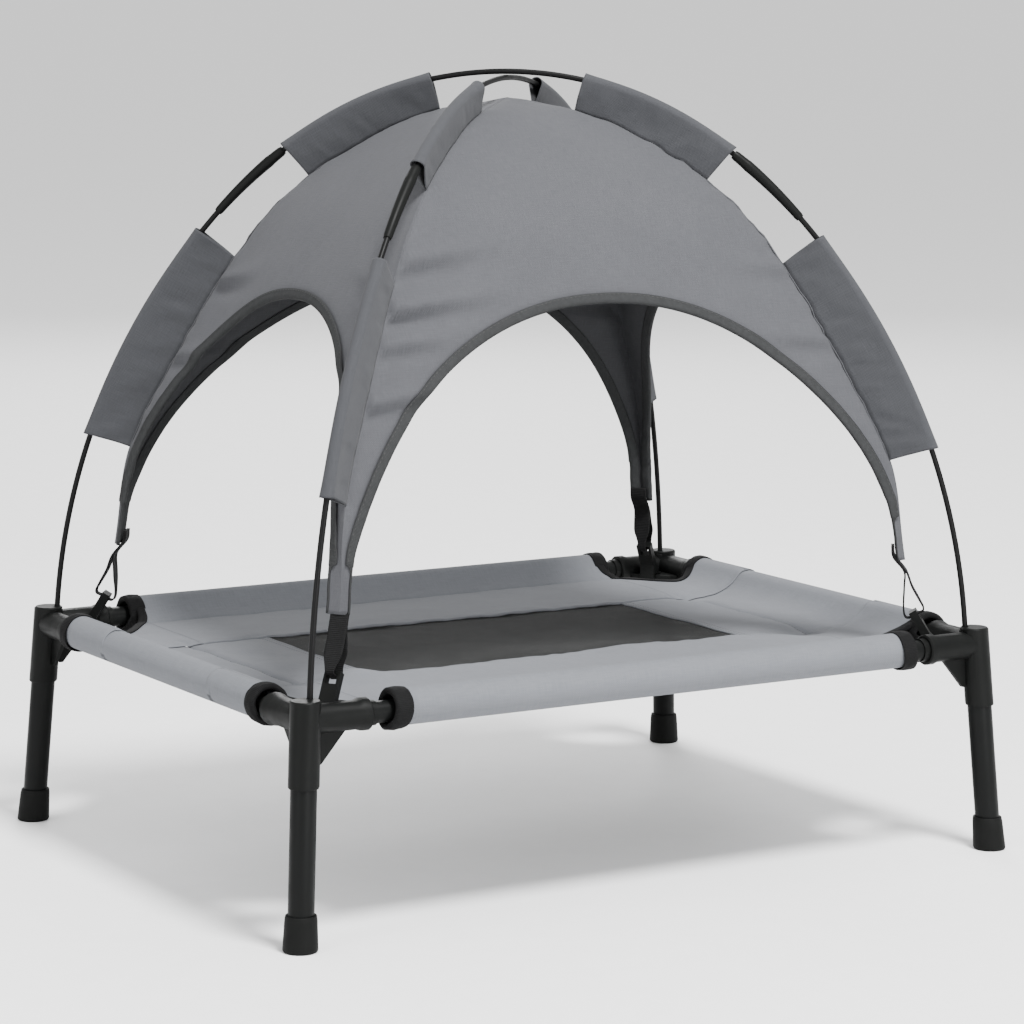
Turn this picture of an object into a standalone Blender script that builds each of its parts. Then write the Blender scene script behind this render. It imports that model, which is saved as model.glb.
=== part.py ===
"""Raised dog bed with a domed canopy: sockets, tubes, sling, two crossed poles and four fabric panels.

Metres, +Z up. The origin is on the floor under the middle of the bed. X runs along the long side,
and the front is at -Y. Every corner piece is worked out for the back right corner, where X and Y
are both positive, and mirrored to the others.
"""

import math

import bmesh
import bpy
from mathutils import Vector

# Driving dimensions
FOOT = Vector((0.306, 0.2334))            # middle of a foot on the floor
CORNER = Vector((0.2949, 0.2217))         # middle of a connector at its top
CONNECTOR_TOP = 0.1765
SOCKET_BOTTOM = 0.115
TUBE_Z = 0.1625                           # centre line of the bed's tubes
GAP = 0.0003                              # clearance between pieces that touch
EDGE = 0.001                              # bevel on moulded edges
OVERLAP = 0.003                           # how far joined shapes run into each other

SOCKET_R = 0.01125
LEG_R = 0.0095
TUBE_R = 0.0080
TUBE_WALL = 0.0012
LEG_TOP = 0.1475
FOOT_HEIGHT = 0.026
FOOT_R = (0.0128, 0.01175)                # at the floor and at its top
FOOT_FLOOR = 0.004                        # rubber under the leg

ARM_R = 0.0107                            # horizontal sockets
ARM_LENGTH = 0.049
ARM_START = 0.0125                        # where the bore for the tube begins
COLLAR_R = 0.0120
COLLAR_LENGTH = 0.006
ARM_TAPER = 0.004
LIP_R = 0.0092
LIP_LENGTH = 0.005
GUSSET_REACH = 0.019
GUSSET_DROP = 0.022
GUSSET_THICKNESS = 0.0035

ROD_R = 0.0022
ROD_BORE_R = 0.0028
ROD_TIP_Z = 0.1505
ARC_FOOT_Z = 0.1765
ARC_ANGLES = (3.47, 41.26, 55.98, 90.0)   # degrees from upright, where the pole's arcs meet
ARC_RADII = (0.5387, 0.3838, 0.2783)
POLE_TOP = 0.6055
CROSSING_DROP = 0.0048                    # how far the lower pole passes under the upper one
BOSS_R = 0.0048                           # the boss that holds a pole's tip
BOSS_Z = (0.1475, 0.1747)

LOWER_SLEEVE = (19.4, 39.3)               # stretches of the pole, in degrees from upright
UPPER_SLEEVE = (52.6, 77.8)
FERRULE = (41.5, 52.2)
ROD_JOINT = 46.9
ROD_JOINT_GAP = 0.05                      # degrees from the joint to each rod's end
FERRULE_R = (0.0034, 0.0044, 0.0038)      # at its lower end, its thickest and its upper end
FERRULE_SHOULDER = 0.8                    # share of its length where it is thickest
SLEEVE_R = 0.0042
SLEEVE_BORE_R = 0.0029
SLEEVE_NECK = 0.0067                      # from the pole's centre to where the flap begins
NECK_HALF = 0.0016
FLAP_HALF = 0.0012
SLEEVE_BORE_ANGLES = (180, 135, 90, 55, 20, -20, -55, -90, -135)

# The dome's ridge in a corner's diagonal plane: distance from the middle, height
RIDGE = (
    (0.3150, 0.2285),
    (0.3015, 0.3070),
    (0.2670, 0.3750),
    (0.2134, 0.4640),
    (0.1620, 0.5200),
    (0.0800, 0.5680),
    (0.0035, 0.5865),
)
PANEL_THICKNESS = 0.0015
RIDGE_CLEARANCE = 0.0015                  # from the diagonal plane to a panel's edge
PANEL_ROWS = 4                            # from the doorway's edge to the ridge
PANEL_STEPS = 28                          # round the doorway
PANEL_SPREAD = 1.3                        # gathers the steps towards the foot
DOOR_TOP = 0.4375
DOOR_FOOT = 0.2620                        # where the tabs below the door begin
DOOR_POWER_ACROSS = 2.13                  # the door is a superellipse
DOOR_POWER_UP = 1.41
TAB_HALF = 0.0095
DOOR_TAPE_WIDTH = 0.0065
DOOR_TAPE_THICKNESS = 0.0012
DOOR_TAPE_LIFT = 0.0007                   # from the panel's face to the tape
DOOR_TAPE_FOOT = 5.0                      # degrees round the door where its tape begins
DOOR_TAPE_STEPS = 22

# Hook and webbing, in the diagonal plane
HOOK_TOP = Vector((0.3206, 0.1882))
HOOK_LEAN = math.radians(31.0)
HOOK_THICKNESS = 0.0064
HOOK_WIDTH = 0.0127
EYE_WIDTH = 0.0082
EYE_LENGTH = 0.0070
EYE_START = 0.0028
HOOK_SHANK = (0.0205, 0.0220)             # inboard and outboard, from the top to the fork
HOOK_SHOULDER = 0.0046                    # from the fork's roof to its shoulders
HOOK_PRONG = 0.0030
HOOK_MOUTH = 0.0040                       # how far the prongs reach below the bar
HOOK_PLAY = 0.0009
WEB_EDGE = 0.3320                         # free edge of the corner web
WEB_Z = (0.1555, 0.1595)
WEB_BAR = 0.0050
WEB_SLOT = (0.0100, 0.0150)
# The corner web in plan: distance from the middle, sideways
WEB_OUTLINE = ((WEB_EDGE, 0.028), (WEB_EDGE, -0.021), (0.3399, -0.029), (0.3649, 0.0), (0.3329, 0.036))
HOOK_PIVOT = Vector((WEB_EDGE + WEB_BAR / 2, sum(WEB_Z) / 2))
WEBBING_THICKNESS = 0.0012
WEBBING_LOOP_WIDTH = 0.0070
WEBBING_TAIL_WIDTH = 0.0140
WEBBING_KNOT = Vector((0.3163, 0.2195))   # where the loop's two legs meet
WEBBING_REACH = 0.0082                    # from the eye's bar to the loop's legs
WEBBING_BAR = 0.0030                      # from the eye's upper edge to the strap in it
LEG_LIFT_OUT = Vector((-0.0004, 0.0095))   # up each of the loop's legs
LEG_LIFT_IN = Vector((-0.0034, 0.0070))
LOOP_CORNER = 0.0004                      # how far the loop bulges at the eye

# Sling
SLEEVE_TUBE_R = 0.0135
SLEEVE_TUBE_BORE = 0.0110
SLEEVE_Z = 0.1640
BINDING_LONG = (0.066, 0.079)             # start and end of the cuff along the long tube
BINDING_SHORT = (0.055, 0.066)            # and along the short one
BINDING_R = (0.0140, 0.0112)              # outside and inside the cuff
SHEET_Z = (0.1583, 0.1601)
STRIP_Z = (0.1576, 0.1608)
STRIP_HALF = 0.0025
SLEEVE_HOLD = 0.0112                      # from the tube to the sheet's edge inside the sleeve's wall
SHEET_CLEAR = 0.001                       # from the sheet to a cuff
SEAM_HALF = 0.0002                        # half the gap between neighbouring border panels
MESH_HALF = Vector((0.166, 0.087))
MESH_Z = (0.1590, 0.1600)
# The edge of the notched corner, inwards from the connector along X and Y
NOTCH = ((0.0725, 0.0125), (0.0695, 0.0240), (0.0560, 0.0430), (0.0400, 0.0620),
         (0.0265, 0.0690), (0.0125, 0.0605))

ROUND = 16
POLE_ROUND = 8
CORNERS = {"front_left": (-1, -1), "front_right": (1, -1), "back_left": (-1, 1), "back_right": (1, 1)}
LOWER_POLE = ("front_left", "back_right")
LOWER_SQUASH = 1.0 - CROSSING_DROP / (POLE_TOP - ARC_FOOT_Z)
SHARP_ANGLE = math.radians(35)

DIAGONAL = CORNER.normalized()


# ---------------------------------------------------------------- materials

def make_material(name, colour, roughness, metallic=0.0):
    material = bpy.data.materials.new(name)
    material.use_nodes = True
    shader = material.node_tree.nodes["Principled BSDF"]
    shader.inputs["Base Color"].default_value = (*colour, 1.0)
    shader.inputs["Roughness"].default_value = roughness
    shader.inputs["Metallic"].default_value = metallic
    material.diffuse_color = (*colour, 1.0)
    return material


# ---------------------------------------------------------------- solids

def mesh_from(verts, faces):
    """A mesh of the points and faces, with its faces turned outwards."""
    bm = bmesh.new()
    made = [bm.verts.new(v) for v in verts]
    for face in faces:
        bm.faces.new([made[i] for i in face])
    bmesh.ops.recalc_face_normals(bm, faces=bm.faces)
    mesh = bpy.data.meshes.new("solid")
    bm.to_mesh(mesh)
    bm.free()
    return mesh


def skin(rings, loop=False):
    """A closed solid through rings of equal length, capped at both ends or joined end to end."""
    count = len(rings[0])
    verts = [point for ring in rings for point in ring]
    faces = []
    pairs = len(rings) if loop else len(rings) - 1
    for k in range(pairs):
        a = k * count
        b = (k + 1) % len(rings) * count
        for i in range(count):
            j = (i + 1) % count
            faces.append((a + i, a + j, b + j, b + i))
    if not loop:
        faces.append(tuple(range(count)))
        faces.append(tuple(range(len(verts) - count, len(verts))))
    return mesh_from(verts, faces)


def triangulated(mesh):
    """The same solid with its bent faces split into flat ones."""
    bm = bmesh.new()
    bm.from_mesh(mesh)
    bmesh.ops.triangulate(bm, faces=bm.faces)
    bm.to_mesh(mesh)
    bm.free()
    return mesh


def circle(centre, u, v, radius, sides):
    angles = [2 * math.pi * i / sides for i in range(sides)]
    return [centre + u * (radius * math.cos(a)) + v * (radius * math.sin(a)) for a in angles]


def turned(profile, start, along, sides=ROUND, loop=False):
    """A turned solid: profile holds (distance along the axis, radius)."""
    along = along.normalized()
    u = along.orthogonal().normalized()
    v = along.cross(u)
    rings = [circle(start + along * t, u, v, r, sides) for t, r in profile]
    return skin(rings, loop)


def leg_axis(z):
    """The middle of the leg and its socket at a height."""
    share = (CONNECTOR_TOP - z) / CONNECTOR_TOP
    middle = CORNER.lerp(FOOT, share)
    return Vector((middle.x, middle.y, z))


def column(profile, sides=ROUND, loop=False):
    """A splayed column on the leg's axis, level at every height: profile holds (height, radius)."""
    x, y = Vector((1, 0, 0)), Vector((0, 1, 0))
    return skin([circle(leg_axis(z), x, y, r, sides) for z, r in profile], loop)


def prism(outline, offset):
    """A solid of a flat outline, moved along offset."""
    return skin([list(outline), [point + offset for point in outline]])


def boolean(base, tools, operation):
    """Joins tools to a mesh, or cuts them out of it."""
    body = bpy.data.objects.new("base", base)
    bpy.context.collection.objects.link(body)
    used = [body]
    for tool in tools:
        cutter = bpy.data.objects.new("tool", tool)
        bpy.context.collection.objects.link(cutter)
        modifier = body.modifiers.new("Boolean", "BOOLEAN")
        modifier.operation = operation
        modifier.solver = "EXACT"
        modifier.object = cutter
        used.append(cutter)
    graph = bpy.context.evaluated_depsgraph_get()
    result = bpy.data.meshes.new_from_object(body.evaluated_get(graph))
    for item in used:
        bpy.data.objects.remove(item)
    result.materials.clear()
    return result


def mirrored(mesh, signs):
    """A copy of a back right corner's mesh, for the corner with these signs."""
    bm = bmesh.new()
    bm.from_mesh(mesh)
    for vert in bm.verts:
        vert.co.x *= signs[0]
        vert.co.y *= signs[1]
    if signs[0] * signs[1] < 0:
        bmesh.ops.reverse_faces(bm, faces=bm.faces)
    copy = bpy.data.meshes.new("solid")
    bm.to_mesh(copy)
    bm.free()
    return copy


def diagonal_point(s, z, side=0.0):
    """A point of the diagonal plane, or beside it."""
    across = Vector((-DIAGONAL.y, DIAGONAL.x))
    flat = DIAGONAL * s + across * side
    return Vector((flat.x, flat.y, z))


# ---------------------------------------------------------------- placing

def place(name, mesh, material, origin=(0, 0, 0), parent=None):
    """Adds a node whose mesh is in world coordinates, with its origin at a chosen point."""
    origin = Vector(origin)
    for vert in mesh.vertices:
        vert.co -= origin
    mesh.name = name
    mesh.materials.append(material)
    mesh.shade_smooth()
    mesh.set_sharp_from_angle(angle=SHARP_ANGLE)
    node = bpy.data.objects.new(name, mesh)
    bpy.context.collection.objects.link(node)
    node.location = origin
    if parent:
        node.parent = parent
        node.location = origin - parent.location
    return node


def place_empty(name, location):
    empty = bpy.data.objects.new(name, None)
    bpy.context.collection.objects.link(empty)
    empty.location = location
    return empty


# ---------------------------------------------------------------- frame

def arm(along):
    """A horizontal socket with its end collar and thin lip, as a solid without its bore."""
    start = Vector((CORNER.x, CORNER.y, TUBE_Z))
    collar = ARM_LENGTH - COLLAR_LENGTH
    profile = [
        (0.0, ARM_R),
        (collar - ARM_TAPER, ARM_R),
        (collar, COLLAR_R),
        (ARM_LENGTH - EDGE, COLLAR_R),
        (ARM_LENGTH, COLLAR_R - EDGE),
        (ARM_LENGTH, LIP_R),
        (ARM_LENGTH + LIP_LENGTH, LIP_R),
    ]
    return turned(profile, start, along)


def arm_bore(along):
    start = Vector((CORNER.x, CORNER.y, TUBE_Z)) + along * ARM_START
    return turned([(0.0, TUBE_R + GAP), (ARM_LENGTH + LIP_LENGTH, TUBE_R + GAP)], start, along)


def gusset(along, side):
    """The triangular rib under a horizontal socket."""
    middle = Vector((CORNER.x, CORNER.y, 0)) - side * (GUSSET_THICKNESS / 2)
    inner = SOCKET_R - OVERLAP
    outer = SOCKET_R + GUSSET_REACH
    underside = TUBE_Z - ARM_R
    top = underside + OVERLAP
    low = underside - GUSSET_DROP
    outline = [(inner, top), (outer, top), (outer, underside), (SOCKET_R, low), (inner, low)]
    corners = [middle + along * t + Vector((0, 0, z)) for t, z in outline]
    return prism(corners, side * GUSSET_THICKNESS)


def corner_web():
    """The plate across the inner corner that the hook catches on."""
    outline = [diagonal_point(s, WEB_Z[0], side) for s, side in WEB_OUTLINE]
    return prism(outline, Vector((0, 0, WEB_Z[1] - WEB_Z[0])))


def web_slot():
    near = WEB_EDGE + WEB_BAR
    far = near + WEB_SLOT[0]
    half = WEB_SLOT[1] / 2
    low = WEB_Z[0] - EDGE
    plan = ((near, -half), (far, -half), (far, half), (near, half))
    outline = [diagonal_point(s, low, side) for s, side in plan]
    return prism(outline, Vector((0, 0, WEB_Z[1] - WEB_Z[0] + 2 * EDGE)))


def connector():
    inward_x, inward_y, up = Vector((-1, 0, 0)), Vector((0, -1, 0)), Vector((0, 0, 1))
    pole_foot = pole_point(ARC_ANGLES[0], 1.0)[0]
    socket = column([
        (SOCKET_BOTTOM, SOCKET_R - EDGE / 2),
        (SOCKET_BOTTOM + EDGE, SOCKET_R),
        (CONNECTOR_TOP - EDGE, SOCKET_R),
        (CONNECTOR_TOP, SOCKET_R - EDGE),
    ])
    height = BOSS_Z[1] - BOSS_Z[0]
    boss_profile = [(0.0, BOSS_R - EDGE), (EDGE, BOSS_R), (height - EDGE, BOSS_R), (height, BOSS_R - EDGE)]
    boss = turned(boss_profile, diagonal_point(pole_foot, BOSS_Z[0]), up)
    added = [arm(inward_x), arm(inward_y), gusset(inward_x, inward_y), gusset(inward_y, inward_x),
             corner_web(), boss]
    leg_bore = column([(SOCKET_BOTTOM - OVERLAP, LEG_R + GAP), (LEG_TOP + GAP, LEG_R + GAP)])
    rod_bore = turned([(0.0, ROD_BORE_R), (CONNECTOR_TOP - BOSS_Z[0], ROD_BORE_R)],
                      diagonal_point(pole_foot, ROD_TIP_Z - GAP), up, POLE_ROUND)
    solid = boolean(socket, added, "UNION")
    return boolean(solid, [leg_bore, rod_bore, arm_bore(inward_x), arm_bore(inward_y), web_slot()],
                   "DIFFERENCE")


def leg():
    inner = LEG_R - TUBE_WALL
    bottom = FOOT_FLOOR + GAP
    return column([(bottom, LEG_R), (LEG_TOP, LEG_R), (LEG_TOP, inner), (bottom, inner)], loop=True)


def foot_cap():
    bore = LEG_R + GAP
    return column([
        (0.0, FOOT_R[0] - EDGE),
        (EDGE, FOOT_R[0]),
        (FOOT_HEIGHT - EDGE, FOOT_R[1]),
        (FOOT_HEIGHT, FOOT_R[1] - EDGE / 2),
        (FOOT_HEIGHT, bore),
        (FOOT_FLOOR, bore),
    ])


def frame_tube(start, end):
    length = (end - start).length
    inner = TUBE_R - TUBE_WALL
    profile = [(0.0, TUBE_R), (length, TUBE_R), (length, inner), (0.0, inner)]
    return turned(profile, start, end - start, loop=True)


# ---------------------------------------------------------------- sling

def corner_offset(dx, dy, z):
    """A point inwards from the connector by dx and dy."""
    return Vector((CORNER.x - dx, CORNER.y - dy, z))


def notch_path(shift, z):
    """The notched corner's edge, moved towards the middle of the bed by shift."""
    points = [Vector(p) for p in NOTCH]
    moved = []
    for i, point in enumerate(points):
        before = points[max(i - 1, 0)]
        after = points[min(i + 1, len(points) - 1)]
        run = (after - before).normalized()
        normal = Vector((run.y, -run.x))
        if normal.dot(Vector((1, 1))) < 0:
            normal = -normal
        moved.append(point + normal * shift)
    return [corner_offset(p.x, p.y, z) for p in moved]


def binding():
    """Tape round the notch, with a ring on each sleeve's end."""
    strip = notch_path(-STRIP_HALF, STRIP_Z[0]) + notch_path(STRIP_HALF, STRIP_Z[0])[::-1]
    tape = prism(strip, Vector((0, 0, STRIP_Z[1] - STRIP_Z[0])))
    rings = []
    for along, (near, far) in ((Vector((-1, 0, 0)), BINDING_LONG), (Vector((0, -1, 0)), BINDING_SHORT)):
        outer, inner = BINDING_R
        profile = [(near, outer), (far - GAP, outer), (far - GAP, inner), (near, inner)]
        rings.append(turned(profile, Vector((CORNER.x, CORNER.y, SLEEVE_Z)), along, loop=True))
    return boolean(rings[0], [rings[1], tape], "UNION")


def border_outline(long_side):
    """Half of a border panel's plan, from the mesh's corner round to the middle of its sleeve's edge."""
    z = SHEET_Z[0]
    edge = notch_path(STRIP_HALF + GAP, z)
    seam_end = (edge[2] + edge[3]) / 2
    beside = SLEEVE_TUBE_R + SHEET_CLEAR
    if long_side:
        apart = Vector((-SEAM_HALF, SEAM_HALF, 0))
        cuff = CORNER.x - BINDING_LONG[1] - SHEET_CLEAR
        rest = [edge[2], edge[1], Vector((edge[0].x, CORNER.y - beside, z)),
                Vector((cuff, CORNER.y - beside, z)), Vector((cuff, CORNER.y - SLEEVE_HOLD, z))]
    else:
        apart = Vector((SEAM_HALF, -SEAM_HALF, 0))
        cuff = CORNER.y - BINDING_SHORT[1] - SHEET_CLEAR
        rest = [edge[3], edge[4], Vector((CORNER.x - beside, edge[4].y, z)),
                Vector((CORNER.x - beside, cuff, z)), Vector((CORNER.x - SLEEVE_HOLD, cuff, z))]
    mesh_corner = Vector((MESH_HALF.x, MESH_HALF.y, z))
    return [mesh_corner + apart, seam_end + apart] + rest


def border(long_side):
    """One border panel of the sling at +Y or +X, with its sleeve round the tube."""
    half = border_outline(long_side)
    if long_side:
        flip = Vector((-1, 1, 1))
        start = Vector((BINDING_LONG[1] - CORNER.x, CORNER.y, SLEEVE_Z))
    else:
        flip = Vector((1, -1, 1))
        start = Vector((CORNER.x, BINDING_SHORT[1] - CORNER.y, SLEEVE_Z))
    other = [point * flip for point in half]
    sheet = prism(half + other[::-1], Vector((0, 0, SHEET_Z[1] - SHEET_Z[0])))
    run = start * flip - start
    profile = [(0.0, SLEEVE_TUBE_R), (run.length, SLEEVE_TUBE_R),
               (run.length, SLEEVE_TUBE_BORE), (0.0, SLEEVE_TUBE_BORE)]
    return boolean(turned(profile, start, run, loop=True), [sheet], "UNION")


def mesh_panel():
    x, y = MESH_HALF.x - GAP, MESH_HALF.y - GAP
    outline = [Vector((sx * x, sy * y, MESH_Z[0])) for sx, sy in ((-1, -1), (1, -1), (1, 1), (-1, 1))]
    return prism(outline, Vector((0, 0, MESH_Z[1] - MESH_Z[0])))


# ---------------------------------------------------------------- poles

def pole_point(angle, squash):
    """(distance from the middle, height) of the pole's centre line, by its angle from upright."""
    s, z = 0.0, POLE_TOP
    a = math.radians(angle)
    for k in (2, 1, 0):
        low, high = math.radians(ARC_ANGLES[k]), math.radians(ARC_ANGLES[k + 1])
        b = min(max(a, low), high)
        s += ARC_RADII[k] * (math.cos(b) - math.cos(high))
        z -= ARC_RADII[k] * (math.sin(high) - math.sin(b))
    return s, ARC_FOOT_Z + (z - ARC_FOOT_Z) * squash


def pole_stations(first, last, steps, squash):
    """Stations along a stretch of pole: (point, inward normal), both in the diagonal plane."""
    stations = []
    for i in range(steps + 1):
        angle = first + (last - first) * i / steps
        s, z = pole_point(angle, squash)
        a = math.radians(angle)
        stations.append((Vector((s, z)), Vector((-math.cos(a), -math.sin(a)))))
    return stations


def sweep(stations, sections):
    """Rings of (inwards, sideways) section points at each station of a pole."""
    rings = []
    for (point, inward), section in zip(stations, sections):
        ring = []
        for depth, side in section:
            place_at = point + inward * depth
            ring.append(diagonal_point(place_at.x, place_at.y, side))
        rings.append(ring)
    return rings


def round_section(radius, sides=POLE_ROUND):
    angles = [2 * math.pi * i / sides for i in range(sides)]
    return [(radius * math.cos(a), radius * math.sin(a)) for a in angles]


def lower_rod(squash):
    """The rod of one corner, with the straight tip that stands in the connector."""
    arc = pole_stations(ARC_ANGLES[0], ROD_JOINT - ROD_JOINT_GAP, 16, squash)
    foot = arc[0][0].x
    heights = (ROD_TIP_Z, CONNECTOR_TOP - EDGE, CONNECTOR_TOP + EDGE)
    straight = [(Vector((foot, z)), Vector((-1.0, 0.0))) for z in heights]
    stations = straight + arc[1:]
    return skin(sweep(stations, [round_section(ROD_R)] * len(stations)))


def top_rod(squash):
    """The middle rod, from one ferrule over the top to the other, in the back right diagonal."""
    half = pole_stations(ROD_JOINT + ROD_JOINT_GAP, 90.0, 12, squash)
    rings = sweep(half, [round_section(ROD_R)] * len(half))
    other = [[Vector((-p.x, -p.y, p.z)) for p in ring] for ring in rings[:-1]]
    flipped = [[ring[(-i) % len(ring)] for i in range(len(ring))] for ring in other]
    return skin(rings + flipped[::-1])


def ferrule_radius(share):
    """The ferrule's radius, which swells from its lower end to its shoulder."""
    first, middle, last = FERRULE_R
    if share < FERRULE_SHOULDER:
        return first + (middle - first) * math.sin(math.pi / 2 * share / FERRULE_SHOULDER)
    return middle + (last - middle) * (share - FERRULE_SHOULDER) / (1 - FERRULE_SHOULDER)


def ferrule(squash):
    steps = 6
    stations = pole_stations(*FERRULE, steps, squash)
    outer = sweep(stations, [round_section(ferrule_radius(i / steps)) for i in range(steps + 1)])
    bore = sweep(stations, [round_section(ROD_BORE_R)] * len(stations))
    return skin(outer + bore[::-1], loop=True)


# ---------------------------------------------------------------- canopy

def smooth_curve(points, per_span):
    """Points of a Catmull-Rom curve through a list of 2-D points."""
    control = [Vector(p) for p in points]
    control = [control[0] * 2 - control[1]] + control + [control[-1] * 2 - control[-2]]
    result = []
    for k in range(1, len(control) - 2):
        p0, p1, p2, p3 = control[k - 1:k + 3]
        for i in range(per_span):
            t = i / per_span
            result.append((p1 * 2 + (p2 - p0) * t + (p0 * 2 - p1 * 5 + p2 * 4 - p3) * t * t
                           + (p1 * 3 - p0 - p2 * 3 + p3) * t * t * t) / 2)
    result.append(control[-2])
    return result


RIDGE_CURVE = smooth_curve(RIDGE, 12)


def ridge_at(share):
    """The ridge's (distance, height) and its outward normal, by its share from foot to top."""
    last = len(RIDGE_CURVE) - 1
    position = min(max(share, 0.0), 1.0) * last
    k = min(int(position), last - 1)
    point = RIDGE_CURVE[k].lerp(RIDGE_CURVE[k + 1], position - k)
    run = (RIDGE_CURVE[min(k + 2, last)] - RIDGE_CURVE[max(k - 1, 0)]).normalized()
    return point, Vector((run.y, -run.x))


def ridge_share(z):
    """The share along the ridge at a height."""
    last = len(RIDGE_CURVE) - 1
    for k in range(last):
        low, high = RIDGE_CURVE[k].y, RIDGE_CURVE[k + 1].y
        if low <= z <= high:
            return (k + (z - low) / (high - low)) / last
    return 0.0 if z < RIDGE_CURVE[0].y else 1.0


def tab_inner(z, sideways):
    """How far sideways the inner edge of a tab lies at a height."""
    return ridge_at(ridge_share(z))[0].x * sideways - TAB_HALF


def door_edge(turn, sideways, widen):
    """(sideways, height) on the doorway's edge, by its angle round the superellipse."""
    a = math.radians(turn)
    across = (tab_inner(DOOR_FOOT, sideways) + widen) * abs(math.cos(a)) ** (2 / DOOR_POWER_ACROSS)
    height = DOOR_FOOT + (DOOR_TOP + widen - DOOR_FOOT) * abs(math.sin(a)) ** (2 / DOOR_POWER_UP)
    return math.copysign(across, math.cos(a)), height


def panel_columns(sideways):
    """(inner x, inner share, outer share) of each line from the doorway's edge to the ridge."""
    foot = RIDGE[0][1]
    foot_share = ridge_share(DOOR_FOOT)
    columns = [(tab_inner(foot, sideways), 0.0, 0.0)]
    for i in range(PANEL_STEPS + 1):
        turn = 180.0 * i / PANEL_STEPS
        x, z = door_edge(turn, sideways, 0.0)
        up = (1 - abs(turn / 90.0 - 1)) ** PANEL_SPREAD
        columns.append((x, ridge_share(z), foot_share + (1 - foot_share) * up))
    columns.append((-tab_inner(foot, sideways), 0.0, 0.0))
    return columns


def canopy_panel(long_side):
    """One panel of the dome at +Y or +X, from its ridges down to its doorway."""
    along, sideways = (DIAGONAL.y, DIAGONAL.x) if long_side else (DIAGONAL.x, DIAGONAL.y)
    edge_gap = RIDGE_CLEARANCE / along
    rings = []
    for inner_x, inner_share, outer_share in panel_columns(sideways):
        point = ridge_at(outer_share)[0]
        outer_x = math.copysign(max(point.x * sideways - edge_gap, 0.0), inner_x)
        front, back = [], []
        for k in range(PANEL_ROWS + 1):
            share = k / PANEL_ROWS
            x = inner_x + (outer_x - inner_x) * share
            g = inner_share + (outer_share - inner_share) * share
            front.append(dome_point(x, g, 0.0, along, long_side))
            back.append(dome_point(x, g, PANEL_THICKNESS, along, long_side))
        rings.append(front + back[::-1])
    return triangulated(skin(rings))


def door_tape(long_side):
    """The tape on the outside of a doorway's edge."""
    along, sideways = (DIAGONAL.y, DIAGONAL.x) if long_side else (DIAGONAL.x, DIAGONAL.y)
    near, far = -DOOR_TAPE_LIFT, -DOOR_TAPE_LIFT - DOOR_TAPE_THICKNESS
    rings = []
    for i in range(DOOR_TAPE_STEPS + 1):
        turn = DOOR_TAPE_FOOT + (180.0 - 2 * DOOR_TAPE_FOOT) * i / DOOR_TAPE_STEPS
        ring = []
        for widen, depth in ((0.0, near), (DOOR_TAPE_WIDTH, near), (DOOR_TAPE_WIDTH, far), (0.0, far)):
            x, z = door_edge(turn, sideways, widen)
            ring.append(dome_point(x, ridge_share(z), depth, along, long_side))
        rings.append(ring)
    return skin(rings)


def dome_point(x, share, depth, along, long_side):
    """A point of the dome's surface: x along its level line, depth inwards from the surface."""
    point, normal = ridge_at(share)
    out, z = point.x * along, point.y
    slope = Vector((normal.x, normal.y * along)).normalized()
    out -= slope.x * depth
    z -= slope.y * depth
    return Vector((x, out, z)) if long_side else Vector((out, x, z))


def flap_depth(point, inward):
    """How far the ridge lies from a point of the pole, along its inward normal."""
    best = None
    for ridge_point in RIDGE_CURVE:
        gap = ridge_point - point
        off = abs(gap.x * inward.y - gap.y * inward.x)
        if best is None or off < best[0]:
            best = (off, gap.dot(inward))
    return best[1]


def pole_sleeve(stretch, steps, squash):
    """A fin of doubled fabric, folded round the pole and sewn to the ridge."""
    stations = pole_stations(*stretch, steps, squash)
    angles = [math.radians(degrees) for degrees in SLEEVE_BORE_ANGLES]
    hole = [(SLEEVE_BORE_R * math.cos(a), SLEEVE_BORE_R * math.sin(a)) for a in angles]
    slant = SLEEVE_R * math.sqrt(0.5)
    outer = []
    for point, inward in stations:
        depth = flap_depth(point, inward)
        outer.append([(-SLEEVE_R, 0.0), (-slant, slant), (0.0, SLEEVE_R), (SLEEVE_NECK, NECK_HALF),
                      (depth, FLAP_HALF), (depth, -FLAP_HALF), (SLEEVE_NECK, -NECK_HALF),
                      (0.0, -SLEEVE_R), (-slant, -slant)])
    bore = sweep(stations, [hole] * len(stations))
    return skin(sweep(stations, outer) + bore[::-1], loop=True)


# ---------------------------------------------------------------- webbing and hook

def hook_axes():
    """Along the hook's shank, downwards and out, and its outward normal."""
    down = Vector((math.sin(HOOK_LEAN), -math.cos(HOOK_LEAN)))
    return down, Vector((math.cos(HOOK_LEAN), math.sin(HOOK_LEAN)))


def across_plane(outline, width):
    """A solid of an outline in the diagonal plane, with its width across that plane."""
    return prism([diagonal_point(p.x, p.y, -width / 2) for p in outline], diagonal_point(0, 0, width))


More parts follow.
